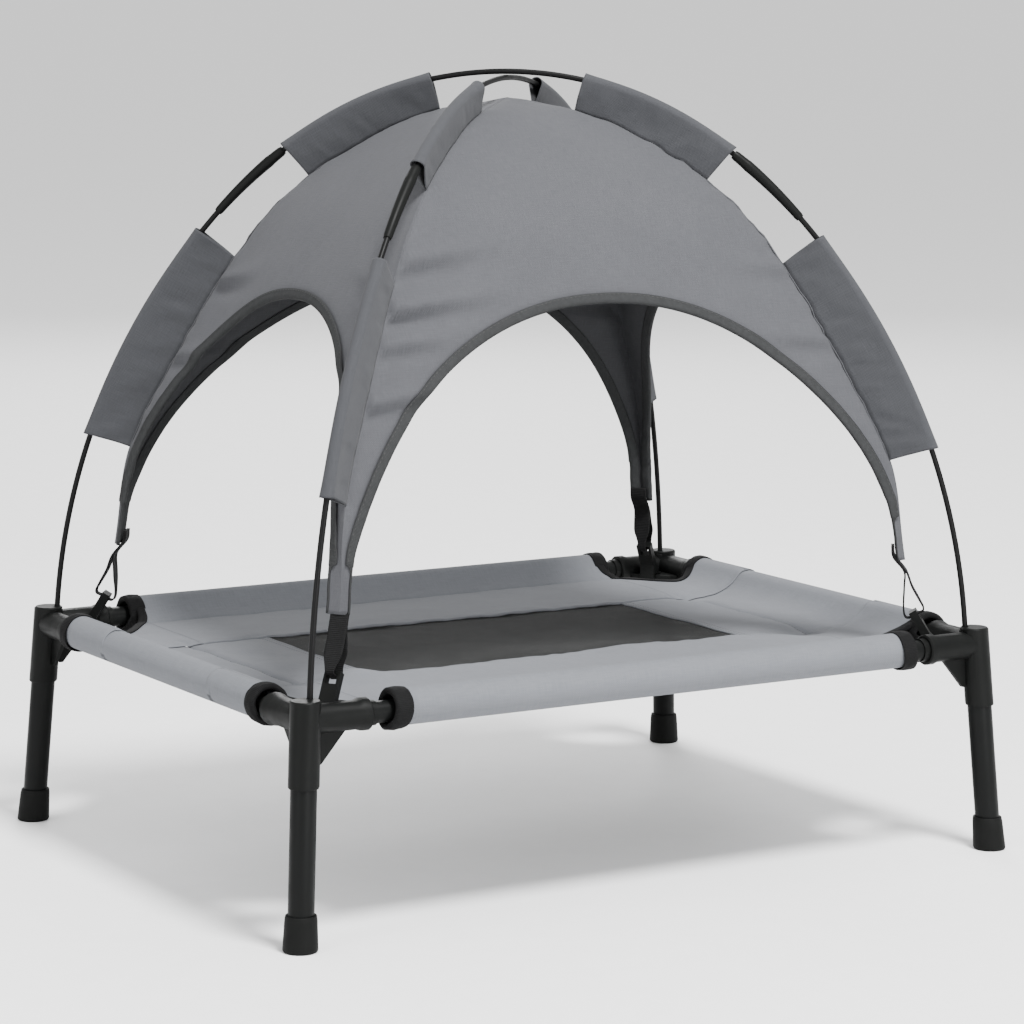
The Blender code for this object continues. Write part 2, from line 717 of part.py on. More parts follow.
def hook():
    """A flat hook: an eye for the webbing, and a fork over the bar of the corner web."""
    down, out = hook_axes()
    inboard = HOOK_TOP - out * (HOOK_THICKNESS / 2)
    outboard = HOOK_TOP + out * (HOOK_THICKNESS / 2)
    inner = WEB_BAR / 2 + HOOK_PLAY
    outer = inner + HOOK_PRONG
    low = WEB_Z[0] - HOOK_MOUTH
    roof = WEB_Z[1] + HOOK_PLAY
    shoulder = roof + HOOK_SHOULDER
    fork = ((outer, shoulder), (outer, low), (inner, low), (inner, roof),
            (-inner, roof), (-inner, low), (-outer, low), (-outer, shoulder))
    outline = [inboard, outboard, outboard + down * HOOK_SHANK[1]]
    outline += [Vector((HOOK_PIVOT.x + x, z)) for x, z in fork]
    outline.append(inboard + down * HOOK_SHANK[0])
    eye_top = HOOK_TOP + down * EYE_START
    eye_foot = eye_top + down * EYE_LENGTH
    through = out * HOOK_THICKNESS
    eye = [eye_top - through, eye_top + through, eye_foot + through, eye_foot - through]
    return boolean(across_plane(outline, HOOK_WIDTH), [across_plane(eye, EYE_WIDTH)], "DIFFERENCE")


def webbing():
    """A strap from the canopy's tab that ends in a loop through the hook's eye."""
    down, out = hook_axes()
    bar = HOOK_TOP + down * (EYE_START + WEBBING_BAR)
    corner = WEBBING_REACH + LOOP_CORNER
    loop_points = [
        WEBBING_KNOT,
        bar + out * WEBBING_REACH + LEG_LIFT_OUT,
        bar + out * corner,
        bar + out * (WEBBING_REACH / 2),
        bar - out * (WEBBING_REACH / 2),
        bar - out * corner,
        bar - out * WEBBING_REACH + LEG_LIFT_IN,
    ]
    middle = sum(loop_points, Vector((0, 0))) / len(loop_points)
    rings = []
    for i, point in enumerate(loop_points):
        run = (loop_points[(i + 1) % len(loop_points)] - loop_points[i - 1]).normalized()
        normal = Vector((run.y, -run.x))
        if normal.dot(point - middle) < 0:
            normal = -normal
        ring = []
        for offset, side in ((0, -1), (0, 1), (-1, 1), (-1, -1)):
            p = point + normal * (WEBBING_THICKNESS * offset)
            ring.append(diagonal_point(p.x, p.y, side * WEBBING_LOOP_WIDTH / 2))
        rings.append(ring)
    top = Vector(RIDGE[0]) - Vector((0, GAP))
    foot = WEBBING_KNOT - Vector((0, WEBBING_THICKNESS))
    half = Vector((WEBBING_THICKNESS, 0))
    tail = across_plane([top - half, top + half, foot + half, foot - half], WEBBING_TAIL_WIDTH)
    return boolean(tail, [skin(rings, loop=True)], "UNION")


# ---------------------------------------------------------------- assembly

def build():
    for item in list(bpy.data.objects):
        bpy.data.objects.remove(item)

    plastic = make_material("black_plastic", (0.022, 0.023, 0.022), 0.45)
    steel = make_material("painted_steel", (0.024, 0.025, 0.025), 0.38)
    rubber = make_material("foot_rubber", (0.020, 0.021, 0.020), 0.6)
    rod_finish = make_material("pole_rod", (0.018, 0.019, 0.018), 0.35)
    canopy_cloth = make_material("canopy_fabric", (0.21, 0.215, 0.225), 0.85)
    bed_cloth = make_material("bed_fabric", (0.30, 0.31, 0.335), 0.8)
    mesh_cloth = make_material("mesh_fabric", (0.03, 0.032, 0.03), 0.7)
    tape_black = make_material("black_tape", (0.02, 0.021, 0.022), 0.8)
    tape_grey = make_material("door_tape", (0.09, 0.092, 0.095), 0.85)
    strap = make_material("webbing", (0.018, 0.018, 0.019), 0.8)

    canopy = place_empty("canopy", (0, 0, POLE_TOP))
    connector_mesh, leg_mesh, foot_mesh = connector(), leg(), foot_cap()
    binding_mesh, hook_mesh, webbing_mesh = binding(), hook(), webbing()
    leg_top = leg_axis(LEG_TOP)
    pivot = diagonal_point(HOOK_PIVOT.x, HOOK_PIVOT.y)

    for corner, signs in CORNERS.items():
        flip = Vector((signs[0], signs[1], 1))
        squash = LOWER_SQUASH if corner in LOWER_POLE else 1.0
        place(f"connector_{corner}", mirrored(connector_mesh, signs), plastic)
        leg_node = place(f"leg_{corner}", mirrored(leg_mesh, signs), steel, leg_top * flip)
        foot_node = place(f"foot_{corner}", mirrored(foot_mesh, signs), rubber, leg_top * flip)
        foot_node.parent = leg_node
        foot_node.location = (0, 0, 0)
        place(f"binding_{corner}", mirrored(binding_mesh, signs), tape_black)
        place(f"rod_{corner}", mirrored(lower_rod(squash), signs), rod_finish, parent=canopy)
        place(f"ferrule_{corner}", mirrored(ferrule(squash), signs), plastic, parent=canopy)
        place(f"lower_sleeve_{corner}", mirrored(pole_sleeve(LOWER_SLEEVE, 5, squash), signs),
              canopy_cloth, parent=canopy)
        place(f"upper_sleeve_{corner}", mirrored(pole_sleeve(UPPER_SLEEVE, 6, squash), signs),
              canopy_cloth, parent=canopy)
        place(f"webbing_{corner}", mirrored(webbing_mesh, signs), strap, parent=canopy)
        place(f"hook_{corner}", mirrored(hook_mesh, signs), plastic, pivot * flip, parent=canopy)

    place("top_rod_upper", mirrored(top_rod(1.0), (1, -1)), rod_finish, parent=canopy)
    place("top_rod_lower", top_rod(LOWER_SQUASH), rod_finish, parent=canopy)

    tube_x = CORNER.x - ARM_START - GAP
    tube_y = CORNER.y - ARM_START - GAP
    sides = {
        "back": (True, (1, 1)),
        "front": (True, (1, -1)),
        "right": (False, (1, 1)),
        "left": (False, (-1, 1)),
    }
    for side, (long_side, signs) in sides.items():
        if long_side:
            ends = (Vector((-tube_x, CORNER.y, TUBE_Z)), Vector((tube_x, CORNER.y, TUBE_Z)))
        else:
            ends = (Vector((CORNER.x, -tube_y, TUBE_Z)), Vector((CORNER.x, tube_y, TUBE_Z)))
        place(f"tube_{side}", mirrored(frame_tube(*ends), signs), steel)
        place(f"border_{side}", mirrored(border(long_side), signs), bed_cloth)
        place(f"canopy_panel_{side}", mirrored(canopy_panel(long_side), signs), canopy_cloth, parent=canopy)
        place(f"door_tape_{side}", mirrored(door_tape(long_side), signs), tape_grey, parent=canopy)
    place("mesh_panel", mesh_panel(), mesh_cloth)


build()
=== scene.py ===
"""Looks of the dog bed with frame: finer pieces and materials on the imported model, in metres."""
from math import acos, cos, exp, pi, radians, sin, sqrt

import bpy
import numpy as np
from mathutils import Matrix, Vector, noise


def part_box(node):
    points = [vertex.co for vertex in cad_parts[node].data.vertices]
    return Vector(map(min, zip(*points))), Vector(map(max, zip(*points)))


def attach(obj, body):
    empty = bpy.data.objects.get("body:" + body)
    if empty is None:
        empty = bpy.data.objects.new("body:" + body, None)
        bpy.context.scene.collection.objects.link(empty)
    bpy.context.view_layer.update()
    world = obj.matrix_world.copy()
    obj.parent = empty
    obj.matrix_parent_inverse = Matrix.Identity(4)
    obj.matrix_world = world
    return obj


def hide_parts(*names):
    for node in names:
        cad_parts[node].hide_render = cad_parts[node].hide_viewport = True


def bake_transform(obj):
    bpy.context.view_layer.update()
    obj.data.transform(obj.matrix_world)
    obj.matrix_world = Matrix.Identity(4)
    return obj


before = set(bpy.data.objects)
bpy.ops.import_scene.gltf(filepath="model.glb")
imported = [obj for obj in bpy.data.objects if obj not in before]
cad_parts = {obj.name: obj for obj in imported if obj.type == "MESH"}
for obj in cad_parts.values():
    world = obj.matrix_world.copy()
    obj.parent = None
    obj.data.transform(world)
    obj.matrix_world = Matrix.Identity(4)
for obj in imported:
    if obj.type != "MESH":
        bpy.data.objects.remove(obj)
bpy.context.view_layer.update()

# ---- sizes shared with the CAD
CORNERS = {"front_left": (-1, -1), "front_right": (1, -1), "back_left": (-1, 1), "back_right": (1, 1)}
CORNER = Vector((0.2949, 0.2217))
FOOT = Vector((0.3060, 0.2334))
DIAGONAL = CORNER.normalized()
CONNECTOR_TOP = 0.1765
LEG_R = 0.0095
LEG_TOP = 0.1475
FOOT_HEIGHT = 0.026
FOOT_R = (0.0128, 0.01175)
LEG_END = 0.0045             # the leg's lower end, inside its cap
TUBE_Z = 0.1625
TUBE_R = 0.0080
TUBE_START = 0.0135          # from the connector's axis to the tube's end
ROD_R = 0.0022
ARC_FOOT_Z = 0.1765
ROD_TIP_Z = 0.1505
ARC_ANGLES = (3.47, 41.26, 55.98, 90.0)    # a pole's lean from upright where its arcs meet
ARC_RADII = (0.5387, 0.3838, 0.2783)
POLE_TOP = 0.6055
CROSSING_DROP = 0.0048       # one pole passes this far under the other
LOWER_SQUASH = 1 - CROSSING_DROP / (POLE_TOP - ARC_FOOT_Z)
LOWER_POLE = ("front_left", "back_right")
LOWER_SLEEVE = (19.4, 39.3)
UPPER_SLEEVE = (52.6, 77.8)
FERRULE = (41.5, 52.2)
FERRULE_R = (0.0034, 0.0044, 0.0038)
FERRULE_SHOULDER = 0.8
ROD_JOINT = 46.9
ROD_GAP = 0.03
SLEEVE_R = 0.0046
RIDGE = ((0.3150, 0.2285), (0.3015, 0.3070), (0.2670, 0.3750), (0.2134, 0.4640),
         (0.1620, 0.5200), (0.0800, 0.5680), (0.0, 0.5867))
DOOR_TOP = 0.4375
DOOR_FOOT = 0.2620
DOOR_POWERS = {True: (2.138, 1.404), False: (2.130, 1.425)}
TAB_HALF = 0.0095
CUFF_LONG = (0.0660, 0.0790)
CUFF_SHORT = (0.0550, 0.0660)
ROLL_R = 0.0130
ROLL_Z = 0.1640
MESH_HALF = (0.1660, 0.0880)
NOTCH = ((0.0725, 0.0125), (0.0695, 0.0240), (0.0560, 0.0430), (0.0400, 0.0620),
         (0.0265, 0.0690), (0.0125, 0.0605))

# ---- camera and light
CAMERA_AT = Vector((-1.4503, -2.4264, 0.6769))
CAMERA_TARGET = Vector((0.0817, 0.1263, 0.2378))
CAMERA_ROLL = radians(0.249)
CAMERA_LENS = 127.24


def placed(name, data):
    """A new object in the scene."""
    made = bpy.data.objects.new(name, data)
    bpy.context.scene.collection.objects.link(made)
    return made


def add_camera():
    data = bpy.data.cameras.new("camera")
    data.lens, data.sensor_width = CAMERA_LENS, 36.0
    data.clip_end = 100.0
    camera = placed("camera", data)
    back = (CAMERA_AT - CAMERA_TARGET).normalized()
    right = Vector((0, 0, 1)).cross(back).normalized()
    up = back.cross(right)
    right, up = (right * cos(CAMERA_ROLL) + up * sin(CAMERA_ROLL),
                 up * cos(CAMERA_ROLL) - right * sin(CAMERA_ROLL))
    camera.matrix_world = Matrix.Translation(CAMERA_AT) @ Matrix((right, up, back)).transposed().to_4x4()
    bpy.context.scene.camera = camera


def add_light(name, at, size, power):
    data = bpy.data.lights.new(name, "AREA")
    data.shape, data.size, data.energy = "DISK", size, power
    light = placed(name, data)
    light.location = at
    light.rotation_euler = (Vector(at) - Vector((0, 0, 0.25))).to_track_quat("Z", "Y").to_euler()


# ---- materials
NOISE_SPAN = (0.3, 0.7)      # where nearly all of a noise texture's values lie
THREAD_REACH = 14            # a yarn's streak is this many times as long as it is wide
NET_SLANT = 1.4              # the net's rows lean, so their pitch is this much wider
NET_OPEN, NET_VEIL = 0.20, 0.020    # how clear the holes are beyond the rest, and the rest itself
GLOSS_SPREAD = 0.06


class Nodes:
    """A material's node tree, with short calls for the nodes that the finishes here share."""

    def __init__(self, name):
        self.material = bpy.data.materials.new(name)
        self.material.use_nodes = True
        self.tree = self.material.node_tree
        self.shader = self.tree.nodes["Principled BSDF"]
        self.output = self.tree.nodes["Material Output"]

    def link(self, source, target):
        self.tree.links.new(source, target)

    def fill(self, node, values):
        """Set a node's inputs; a value can be another node's output."""
        for key, value in values.items():
            if isinstance(value, bpy.types.NodeSocket):
                self.link(value, node.inputs[key])
            else:
                node.inputs[key].default_value = value

    def node(self, kind, values, **settings):
        made = self.tree.nodes.new(kind)
        for key, value in settings.items():
            setattr(made, key, value)
        self.fill(made, values)
        return made

    def cloth(self):
        """The place on the flat cloth: the vector, its first and its second number."""
        place = self.node("ShaderNodeAttribute", {}, attribute_name="cloth").outputs["Vector"]
        split = self.node("ShaderNodeSeparateXYZ", {0: place})
        return place, split.outputs[0], split.outputs[1]

    def place(self):
        return self.node("ShaderNodeTexCoord", {}).outputs["Object"]

    def scaled(self, vector, scale):
        return self.node("ShaderNodeVectorMath", {0: vector, 1: scale}, operation="MULTIPLY").outputs[0]

    def noise(self, vector, scale, detail=2.0, roughness=0.5):
        values = {"Scale": scale, "Detail": detail, "Roughness": roughness, "Vector": vector}
        return self.node("ShaderNodeTexNoise", values).outputs["Fac"]

    def math(self, operation, *values):
        return self.node("ShaderNodeMath", dict(enumerate(values)), operation=operation).outputs[0]

    def times(self, a, b):
        return self.math("MULTIPLY", a, b)

    def wave(self, value, turn):
        return self.math("SINE", self.times(value, turn))

    def around(self, value, middle, spread):
        """A number from middle - spread to middle + spread as value runs over a noise's usual values."""
        values = {"Value": value, "From Min": NOISE_SPAN[0], "From Max": NOISE_SPAN[1],
                  "To Min": middle - spread, "To Max": middle + spread}
        return self.node("ShaderNodeMapRange", values, clamp=True).outputs["Result"]

    def paint(self, value, colour, spread):
        """The base colour, made paler and darker by up to spread."""
        values = {0: colour, "Scale": self.around(value, 1, spread)}
        painted = self.node("ShaderNodeVectorMath", values, operation="SCALE")
        self.fill(self.shader, {"Base Color": painted.outputs[0]})

    def bump(self, height, distance):
        made = self.node("ShaderNodeBump", {"Strength": 1.0, "Distance": distance, "Height": height})
        self.fill(self.shader, {"Normal": made.outputs["Normal"]})

    def finish(self, roughness, sheen=0.0, specular=0.5):
        self.fill(self.shader, {"Roughness": roughness, "Specular IOR Level": specular})
        if sheen:
            self.fill(self.shader, {"Sheen Weight": sheen, "Sheen Roughness": 0.5})
        return self.material


def woven(name, colour, pitch, melange, sheen=0.04):
    """Plain-weave cloth: threads across and along the flat cloth, a melange of paler and darker yarns."""
    n = Nodes(name)
    cloth, first, second = n.cloth()
    across = n.noise(n.scaled(cloth, (1 / (THREAD_REACH * pitch), 1 / pitch, 1)), 1.0, 1.0)
    along = n.noise(n.scaled(cloth, (1 / pitch, 1 / (THREAD_REACH * pitch), 1)), 1.0, 1.0)
    yarns = n.times(n.math("ADD", across, along), 0.5)
    clouds = n.noise(n.place(), 22.0, 3.0)
    n.paint(n.math("ADD", n.times(yarns, 0.8), n.times(clouds, 0.2)), colour, melange)
    weave = n.times(n.wave(first, pi / pitch), n.wave(second, pi / pitch))
    n.bump(n.math("ADD", n.times(weave, 0.5), n.times(yarns, 1.4)), 0.0001)
    return n.finish(0.9, sheen, specular=0.10)


def ribbed(name, colour, pitch, relief=0.00015):
    """Woven tape or webbing, with fine ribs across its length (the cloth's first direction)."""
    n = Nodes(name)
    cloth, first, _ = n.cloth()
    grain = n.noise(n.scaled(cloth, (1 / pitch, 1 / pitch, 1)), 1.3, 2.0)
    n.paint(n.noise(n.place(), 300.0, 3.0), colour, 0.1)
    n.bump(n.math("ADD", n.times(n.wave(first, 2 * pi / pitch), 0.5), grain), relief)
    return n.finish(0.8, specular=0.08)


def grained(name, colour, roughness, scale, relief, spread=0.08, specular=0.5):
    """Thread, moulded plastic, rubber or powder coat: a fine even grain with a little uneven gloss."""
    n = Nodes(name)
    place = n.place()
    n.paint(n.noise(place, 40.0, 3.0), colour, spread)
    n.bump(n.noise(place, scale, 4.0, 0.6), relief)
    gloss = n.around(n.noise(place, 90.0, 3.0), roughness, GLOSS_SPREAD)
    return n.finish(gloss, specular=specular)


def netted(name, colour, pitch, thread_share):
    """Knitted net: holes in staggered rows, a little clearer than the threads between them."""
    n = Nodes(name)
    _, first, second = n.cloth()
    turn = 2 * pi / pitch / NET_SLANT
    rows = [n.wave(n.math(kind, first, second), turn) for kind in ("ADD", "SUBTRACT")]
    holes = n.math("GREATER_THAN", n.times(*rows), thread_share)
    clear = n.node("ShaderNodeBsdfTransparent", {})
    seen = n.math("ADD", n.times(holes, NET_OPEN), NET_VEIL)
    mix = n.node("ShaderNodeMixShader", {"Fac": seen, 1: n.shader.outputs[0], 2: clear.outputs[0]})
    n.link(mix.outputs[0], n.output.inputs["Surface"])
    n.paint(n.noise(n.place(), 60.0, 3.0), colour, 0.15)
    return n.finish(0.85, specular=0.06)


CANOPY_OUT = woven("canopy_cloth", (0.053, 0.054, 0.0590), 0.0008, 0.13)
# the canopy cloth's inner side, also used inside the sleeves: the same cloth painted darker, as painted shade
# for the inside of the dome
CANOPY_INSIDE_SHADE = woven("canopy_inside_painted_shade", (0.036, 0.0365, 0.0390), 0.0008, 0.15, 0.01)
SLEEVE_CLOTH = woven("sleeve_cloth", (0.0360, 0.0370, 0.0405), 0.0008, 0.12)
BED_CLOTH = woven("bed_cloth", (0.114, 0.119, 0.130), 0.0009, 0.11)
# the sling cloth's underside: the same cloth painted darker, as painted shade under the sling
BED_UNDERSIDE_SHADE = woven("bed_cloth_underside_painted_shade", (0.070, 0.072, 0.078), 0.0009, 0.15, 0.05)
NET = netted("mesh_net", (0.0120, 0.0124, 0.0122), 0.0014, 0.60)
TAPE = ribbed("black_tape_weave", (0.0050, 0.0050, 0.0052), 0.0011)
DOOR_TAPE = ribbed("door_tape_weave", (0.0235, 0.0242, 0.0248), 0.0010)
WEBBING = ribbed("webbing_weave", (0.0065, 0.0065, 0.0067), 0.0014, 0.00025)
THREAD = grained("thread", (0.028, 0.029, 0.032), 0.8, 2500.0, 0.00005)
DARK_THREAD = grained("dark_thread", (0.018, 0.018, 0.018), 0.8, 2500.0, 0.00005)
PLASTIC = grained("moulded_plastic", (0.0038, 0.0041, 0.0039), 0.46, 1800.0, 0.00006, specular=0.07)
STEEL = grained("powder_coated_steel", (0.0040, 0.0043, 0.0042), 0.42, 2200.0, 0.00004, 0.05, 0.07)
RUBBER = grained("foot_rubber_grain", (0.0035, 0.0037, 0.0035), 0.62, 1500.0, 0.00008, specular=0.08)
ROD = grained("pole_rod_glassfibre", (0.0042, 0.0042, 0.0043), 0.42, 900.0, 0.00003, specular=0.08)
THICK = {"canopy": 0.0007, "cloth": 0.0006, "net": 0.0005, "tape": 0.0008, "webbing": 0.0011}


# ---- curves and meshes
def ease(value):
    """0 below 0, 1 above 1, and a smooth S between."""
    t = min(max(value, 0.0), 1.0)
    return t * t * (3 - 2 * t)


def bell(value, width):
    """1 at 0, falling off on both sides."""
    return exp(-(value / width) ** 2)


def waver(x, y, z, seed):
    """Smooth noise between about -1 and 1."""
    return noise.noise(Vector((x, y, z + 7.3 * seed)))


def smooth_curve(points, steps):
    """Catmull-Rom curve through the points, in steps pieces between each two."""
    points = [Vector(p) for p in points]
    ends = [points[0] * 2 - points[1]] + points + [points[-1] * 2 - points[-2]]
    made = []
    for k in range(len(points) - 1):
        a, b, c, d = ends[k:k + 4]
        for step in range(steps):
            t = step / steps
            made.append(0.5 * ((2 * b) + (c - a) * t + (2 * a - 5 * b + 4 * c - d) * t * t
                               + (3 * b - a - 3 * c + d) * t ** 3))
    return made + [points[-1]]


def lengths(points):
    """The distance along a line to each of its points."""
    total, made = 0.0, [0.0]
    for a, b in zip(points, points[1:]):
        total += (b - a).length
        made.append(total)
    return made


def run_at(points, k):
    """The direction of a line at its point k."""
    before, after = points[max(k - 1, 0)], points[min(k + 1, len(points) - 1)]
    return Vector([b - a for a, b in zip(before, after)]).normalized()


def folded(half):
    """A tape's section: its upper half, then the same points mirrored for the lower half."""
    return half + [(w, -h) for w, h in half[::-1]]


def ring(centre, first, second, radius, sides):
    """Points round a centre, in the plane of two directions."""
    turns = (2 * pi * k / sides for k in range(sides))
    return [centre + (first * cos(t) + second * sin(t)) * max(radius, 1e-5) for t in turns]


def softened(profile, radius, steps=3):
    """A profile with its inner corners rounded."""
    points = [Vector(p) for p in profile]
    made = [points[0]]
    for before, corner, after in zip(points, points[1:], points[2:]):
        back, ahead = before - corner, after - corner
        reach = min(radius, back.length * 0.45, ahead.length * 0.45)
        a, b = corner + back.normalized() * reach, corner + ahead.normalized() * reach
        for step in range(steps + 1):
            t = step / steps
            made.append(a * (1 - t) ** 2 + corner * 2 * t * (1 - t) + b * t * t)
    return made + [points[-1]]


STITCH = (0.0026, 0.0012, 0.0007, 0.00035)    # length, gap, width and height


class Shell:
    """The points and faces of one piece. Each point also keeps its place on the flat cloth."""

    def __init__(self):
        self.points, self.cloth, self.faces = [], [], []
        self.flat_area, self.spans = 0.0, []

    def cut_area(self):
        """The area of the faces on the flat cloth."""
        total = 0.0
        for face in self.faces:
            flat = [self.cloth[k] for k in face]
            total += abs(sum(a[0] * b[1] - b[0] * a[1] for a, b in zip(flat, flat[1:] + flat[:1]))) / 2
        return total

    def grid(self, rows, closed=False, flip=False):
        """Quads between rows of points; closed joins the end of each row to its start."""
        first, width = len(self.points), len(rows[0])
        along = lengths(rows[len(rows) // 2])
        across = lengths([row[width // 2] for row in rows])
        self.flat_area += along[-1] * across[-1]
        self.spans.append((along[-1], across[-1]))
        for row, v in zip(rows, across):
            for point, u in zip(row, along):
                self.points.append(Vector(point))
                self.cloth.append((u, v, 0.0))
        for i in range(len(rows) - 1):
            for j in range(width if closed else width - 1):
                k = (j + 1) % width
                face = (first + i * width + j, first + i * width + k,
                        first + (i + 1) * width + k, first + (i + 1) * width + j)
                self.faces.append(face[::-1] if flip else face)

    def turn_cloth(self):
        """Swap the flat cloth's two directions."""
        self.cloth = [(v, u, w) for u, v, w in self.cloth]

    def turned(self, profile, start, axis, sides=48):
        """A turned body: profile is (distance along the axis, radius)."""
        axis = axis.normalized()
        first = axis.orthogonal().normalized()
        second = axis.cross(first)
        rows = [ring(start + axis * distance, first, second, radius, sides) for distance, radius in profile]
        self.grid(rows, closed=True, flip=True)

    def swept(self, path, radii, sides=20):
        """A round bar along a path, with a radius at each point."""
        rows = [[path[0]] * sides]
        side = run_at(path, 0).orthogonal().normalized()
        for k, point in enumerate(path):
            run = run_at(path, k)
            if k:
                side = (side - run * side.dot(run)).normalized()
            rows.append(ring(point, side, run.cross(side), radii[k], sides))
        self.grid(rows + [[path[-1]] * sides], closed=True, flip=True)

    def stitches(self, path, normals):
        """A row of raised stitches along a path."""
        length, gap, width, height = STITCH
        at = lengths(path)
        stations = np.array(at)
        coordinates = np.array([tuple(p) for p in path])
        ups = np.array([tuple(n) for n in normals])

        def here(distance):
            return [Vector([float(np.interp(distance, stations, table[:, k])) for k in range(3)])
                    for table in (coordinates, ups)]

        distance = gap
        while distance + length < at[-1]:
            a, up = here(distance)
            b, _ = here(distance + length)
            side = (b - a).cross(up).normalized() * width / 2
            middle = (a + b) / 2
            first = len(self.points)
            self.points += [a, middle + side, b, middle - side, middle + up.normalized() * height]
            self.cloth += [(0.0, 0.0, 0.0)] * 5
            self.faces += [(first + i, first + (i + 1) % 4, first + 4) for i in range(4)]
            distance += length + gap


def piece(name, shell, materials, body, replaced=(), thick=0.0, sharp=None, offset=-1.0):
    """The shell as an object of the model, riding on a body."""
    mesh = bpy.data.meshes.new(name)
    mesh.from_pydata([tuple(p) for p in shell.points], [], shell.faces)
    layer = mesh.attributes.new("cloth", "FLOAT_VECTOR", "POINT")
    layer.data.foreach_set("vector", [number for place in shell.cloth for number in place])
    for material in materials:
        mesh.materials.append(material)
    mesh.shade_smooth()
    if sharp:
        mesh.set_sharp_from_angle(angle=radians(sharp))
    mesh.update()
    obj = placed(name, mesh)
    if thick:
        solid = obj.modifiers.new("thickness", "SOLIDIFY")
        solid.thickness, solid.offset = thick, offset
        # the last material goes on the added shell: for the cloths, this is their inner side or underside
        # painted darker as shade
        solid.material_offset = len(materials) - 1
    if body:
        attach(obj, body)
    if replaced:
        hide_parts(*replaced)
    return obj


# ---- the poles' and the ridge's lines
def pole_point(angle, squash):
    """(distance from the middle, height) of a pole where it leans by an angle from upright, in degrees."""
    s, z = 0.0, POLE_TOP
    for k in (2, 1, 0):
        low, high = radians(ARC_ANGLES[k]), radians(ARC_ANGLES[k + 1])
        b = min(max(radians(angle), low), high)
        s += ARC_RADII[k] * (cos(b) - cos(high))
        z -= ARC_RADII[k] * (sin(high) - sin(b))
    return Vector((s, ARC_FOOT_Z + (z - ARC_FOOT_Z) * squash))


def squash_of(corner):
    return LOWER_SQUASH if corner in LOWER_POLE else 1.0


def diagonal_of(corner):
    """The directions outwards along a corner's diagonal and across it."""
    sx, sy = CORNERS[corner]
    out = Vector((DIAGONAL.x * sx, DIAGONAL.y * sy))
    return out, Vector((-out.y, out.x))


def on_diagonal(corner, s, z, side=0.0):
    """A point in a corner's upright plane, moved sideways out of it by side."""
    out, across = diagonal_of(corner)
    flat = out * s + across * side
    return Vector((flat.x, flat.y, z))


RIDGE_CURVE = smooth_curve(RIDGE, 16)
RIDGE_AT = np.array(lengths(RIDGE_CURVE))    # distance along the ridge, from its foot
RIDGE_S = np.array([p.x for p in RIDGE_CURVE])
RIDGE_Z = np.array([p.y for p in RIDGE_CURVE])
RIDGE_LENGTH = float(RIDGE_AT[-1])
RIDGE_STEP = 0.004


def ridge_s(at):
    """How far the ridge is from the middle, at a distance along it from its foot."""
    return float(np.interp(at, RIDGE_AT, RIDGE_S))


def ridge_z(at):
    return float(np.interp(at, RIDGE_AT, RIDGE_Z))


def ridge_at(at):
    """(point, outward normal) of the ridge at a distance along it from its foot, in its upright plane."""
    low, high = max(at - RIDGE_STEP, 0.0), min(at + RIDGE_STEP, RIDGE_LENGTH)
    run = Vector((ridge_s(high) - ridge_s(low), ridge_z(high) - ridge_z(low))).normalized()
    return Vector((ridge_s(at), ridge_z(at))), Vector((run.y, -run.x))


def ridge_reach(z):
    """Distance along the ridge to a height."""
    return float(np.interp(z, RIDGE_Z, RIDGE_AT))


# ---- canopy
# side: whether it is a long one, the sign of its outward direction, and its corners
SIDES = {"front": (True, -1, ("front_left", "front_right")),
         "right": (False, 1, ("front_right", "back_right")),
         "back": (True, 1, ("back_right", "back_left")),
         "left": (False, -1, ("back_left", "front_left"))}
FLIPPED = ("back", "left")
# how far the ridge's seam wavers, and how far the cloth puckers beside it
GATHER = {"front_left": 0.0007, "front_right": 0.0017, "back_left": 0.0010, "back_right": 0.0010}
PUCKER = {"front_left": 0.0007, "front_right": 0.0011, "back_left": 0.0008, "back_right": 0.0008}
# folds beside a seam, by side and corner: height at the seam, slant, reach inwards, depth and width
FOLDS = {
    ("front", "front_left"): ((0.470, 0.13, 0.090, 0.0026, 0.0070), (0.437, 0.10, 0.110, 0.0030, 0.0065),
                              (0.412, 0.08, 0.070, 0.0020, 0.0055), (0.372, 0.16, 0.085, 0.0024, 0.0070)),
    ("front", "front_right"): ((0.455, 0.10, 0.060, 0.0013, 0.0070), (0.400, 0.12, 0.070, 0.0016, 0.0075)),
    ("left", "front_left"): ((0.452, 0.16, 0.060, 0.0014, 0.0070), (0.392, 0.10, 0.055, 0.0015, 0.0065)),
    ("left", "back_left"): ((0.440, 0.18, 0.060, 0.0016, 0.0065), (0.380, 0.14, 0.050, 0.0012, 0.0060)),
    ("right", "front_right"): ((0.448, 0.12, 0.060, 0.0018, 0.0065), (0.405, 0.14, 0.060, 0.0018, 0.0060)),
    ("right", "back_right"): ((0.430, 0.12, 0.060, 0.0015, 0.0070),),
    ("back", "back_right"): ((0.462, 0.10, 0.080, 0.0020, 0.0070), (0.398, 0.12, 0.075, 0.0018, 0.0070)),
    ("back", "back_left"): ((0.445, 0.12, 0.085, 0.0022, 0.0070), (0.385, 0.10, 0.070, 0.0016, 0.0065)),
}
FOLD_DEPTH = 1.9
SWELL = 0.0014               # the panels' slow rise and fall
SEAM_GROOVE = 0.0012
WAVER_FOOT = 0.30            # the seams waver above this height
PANEL_SPREAD = 1.3
STRAP_SHARE = 0.10           # the part of a door's edge, at each end, that is the side of a tab
FLAT_TAB = (0.2920, 0.2480)  # a tab turns flat between these heights
TAB_FLAT = {"front_left": 0.85}
TAB_FLAT_ELSEWHERE = 0.30
PANEL_COLUMNS = 200
PANEL_ROWS = 46
SEWN = 0.00025               # points of two panels this close are one


def factors(side):
    """(outward, sideways) shares of the diagonal for a side."""
    return (DIAGONAL.y, DIAGONAL.x) if SIDES[side][0] else (DIAGONAL.x, DIAGONAL.y)


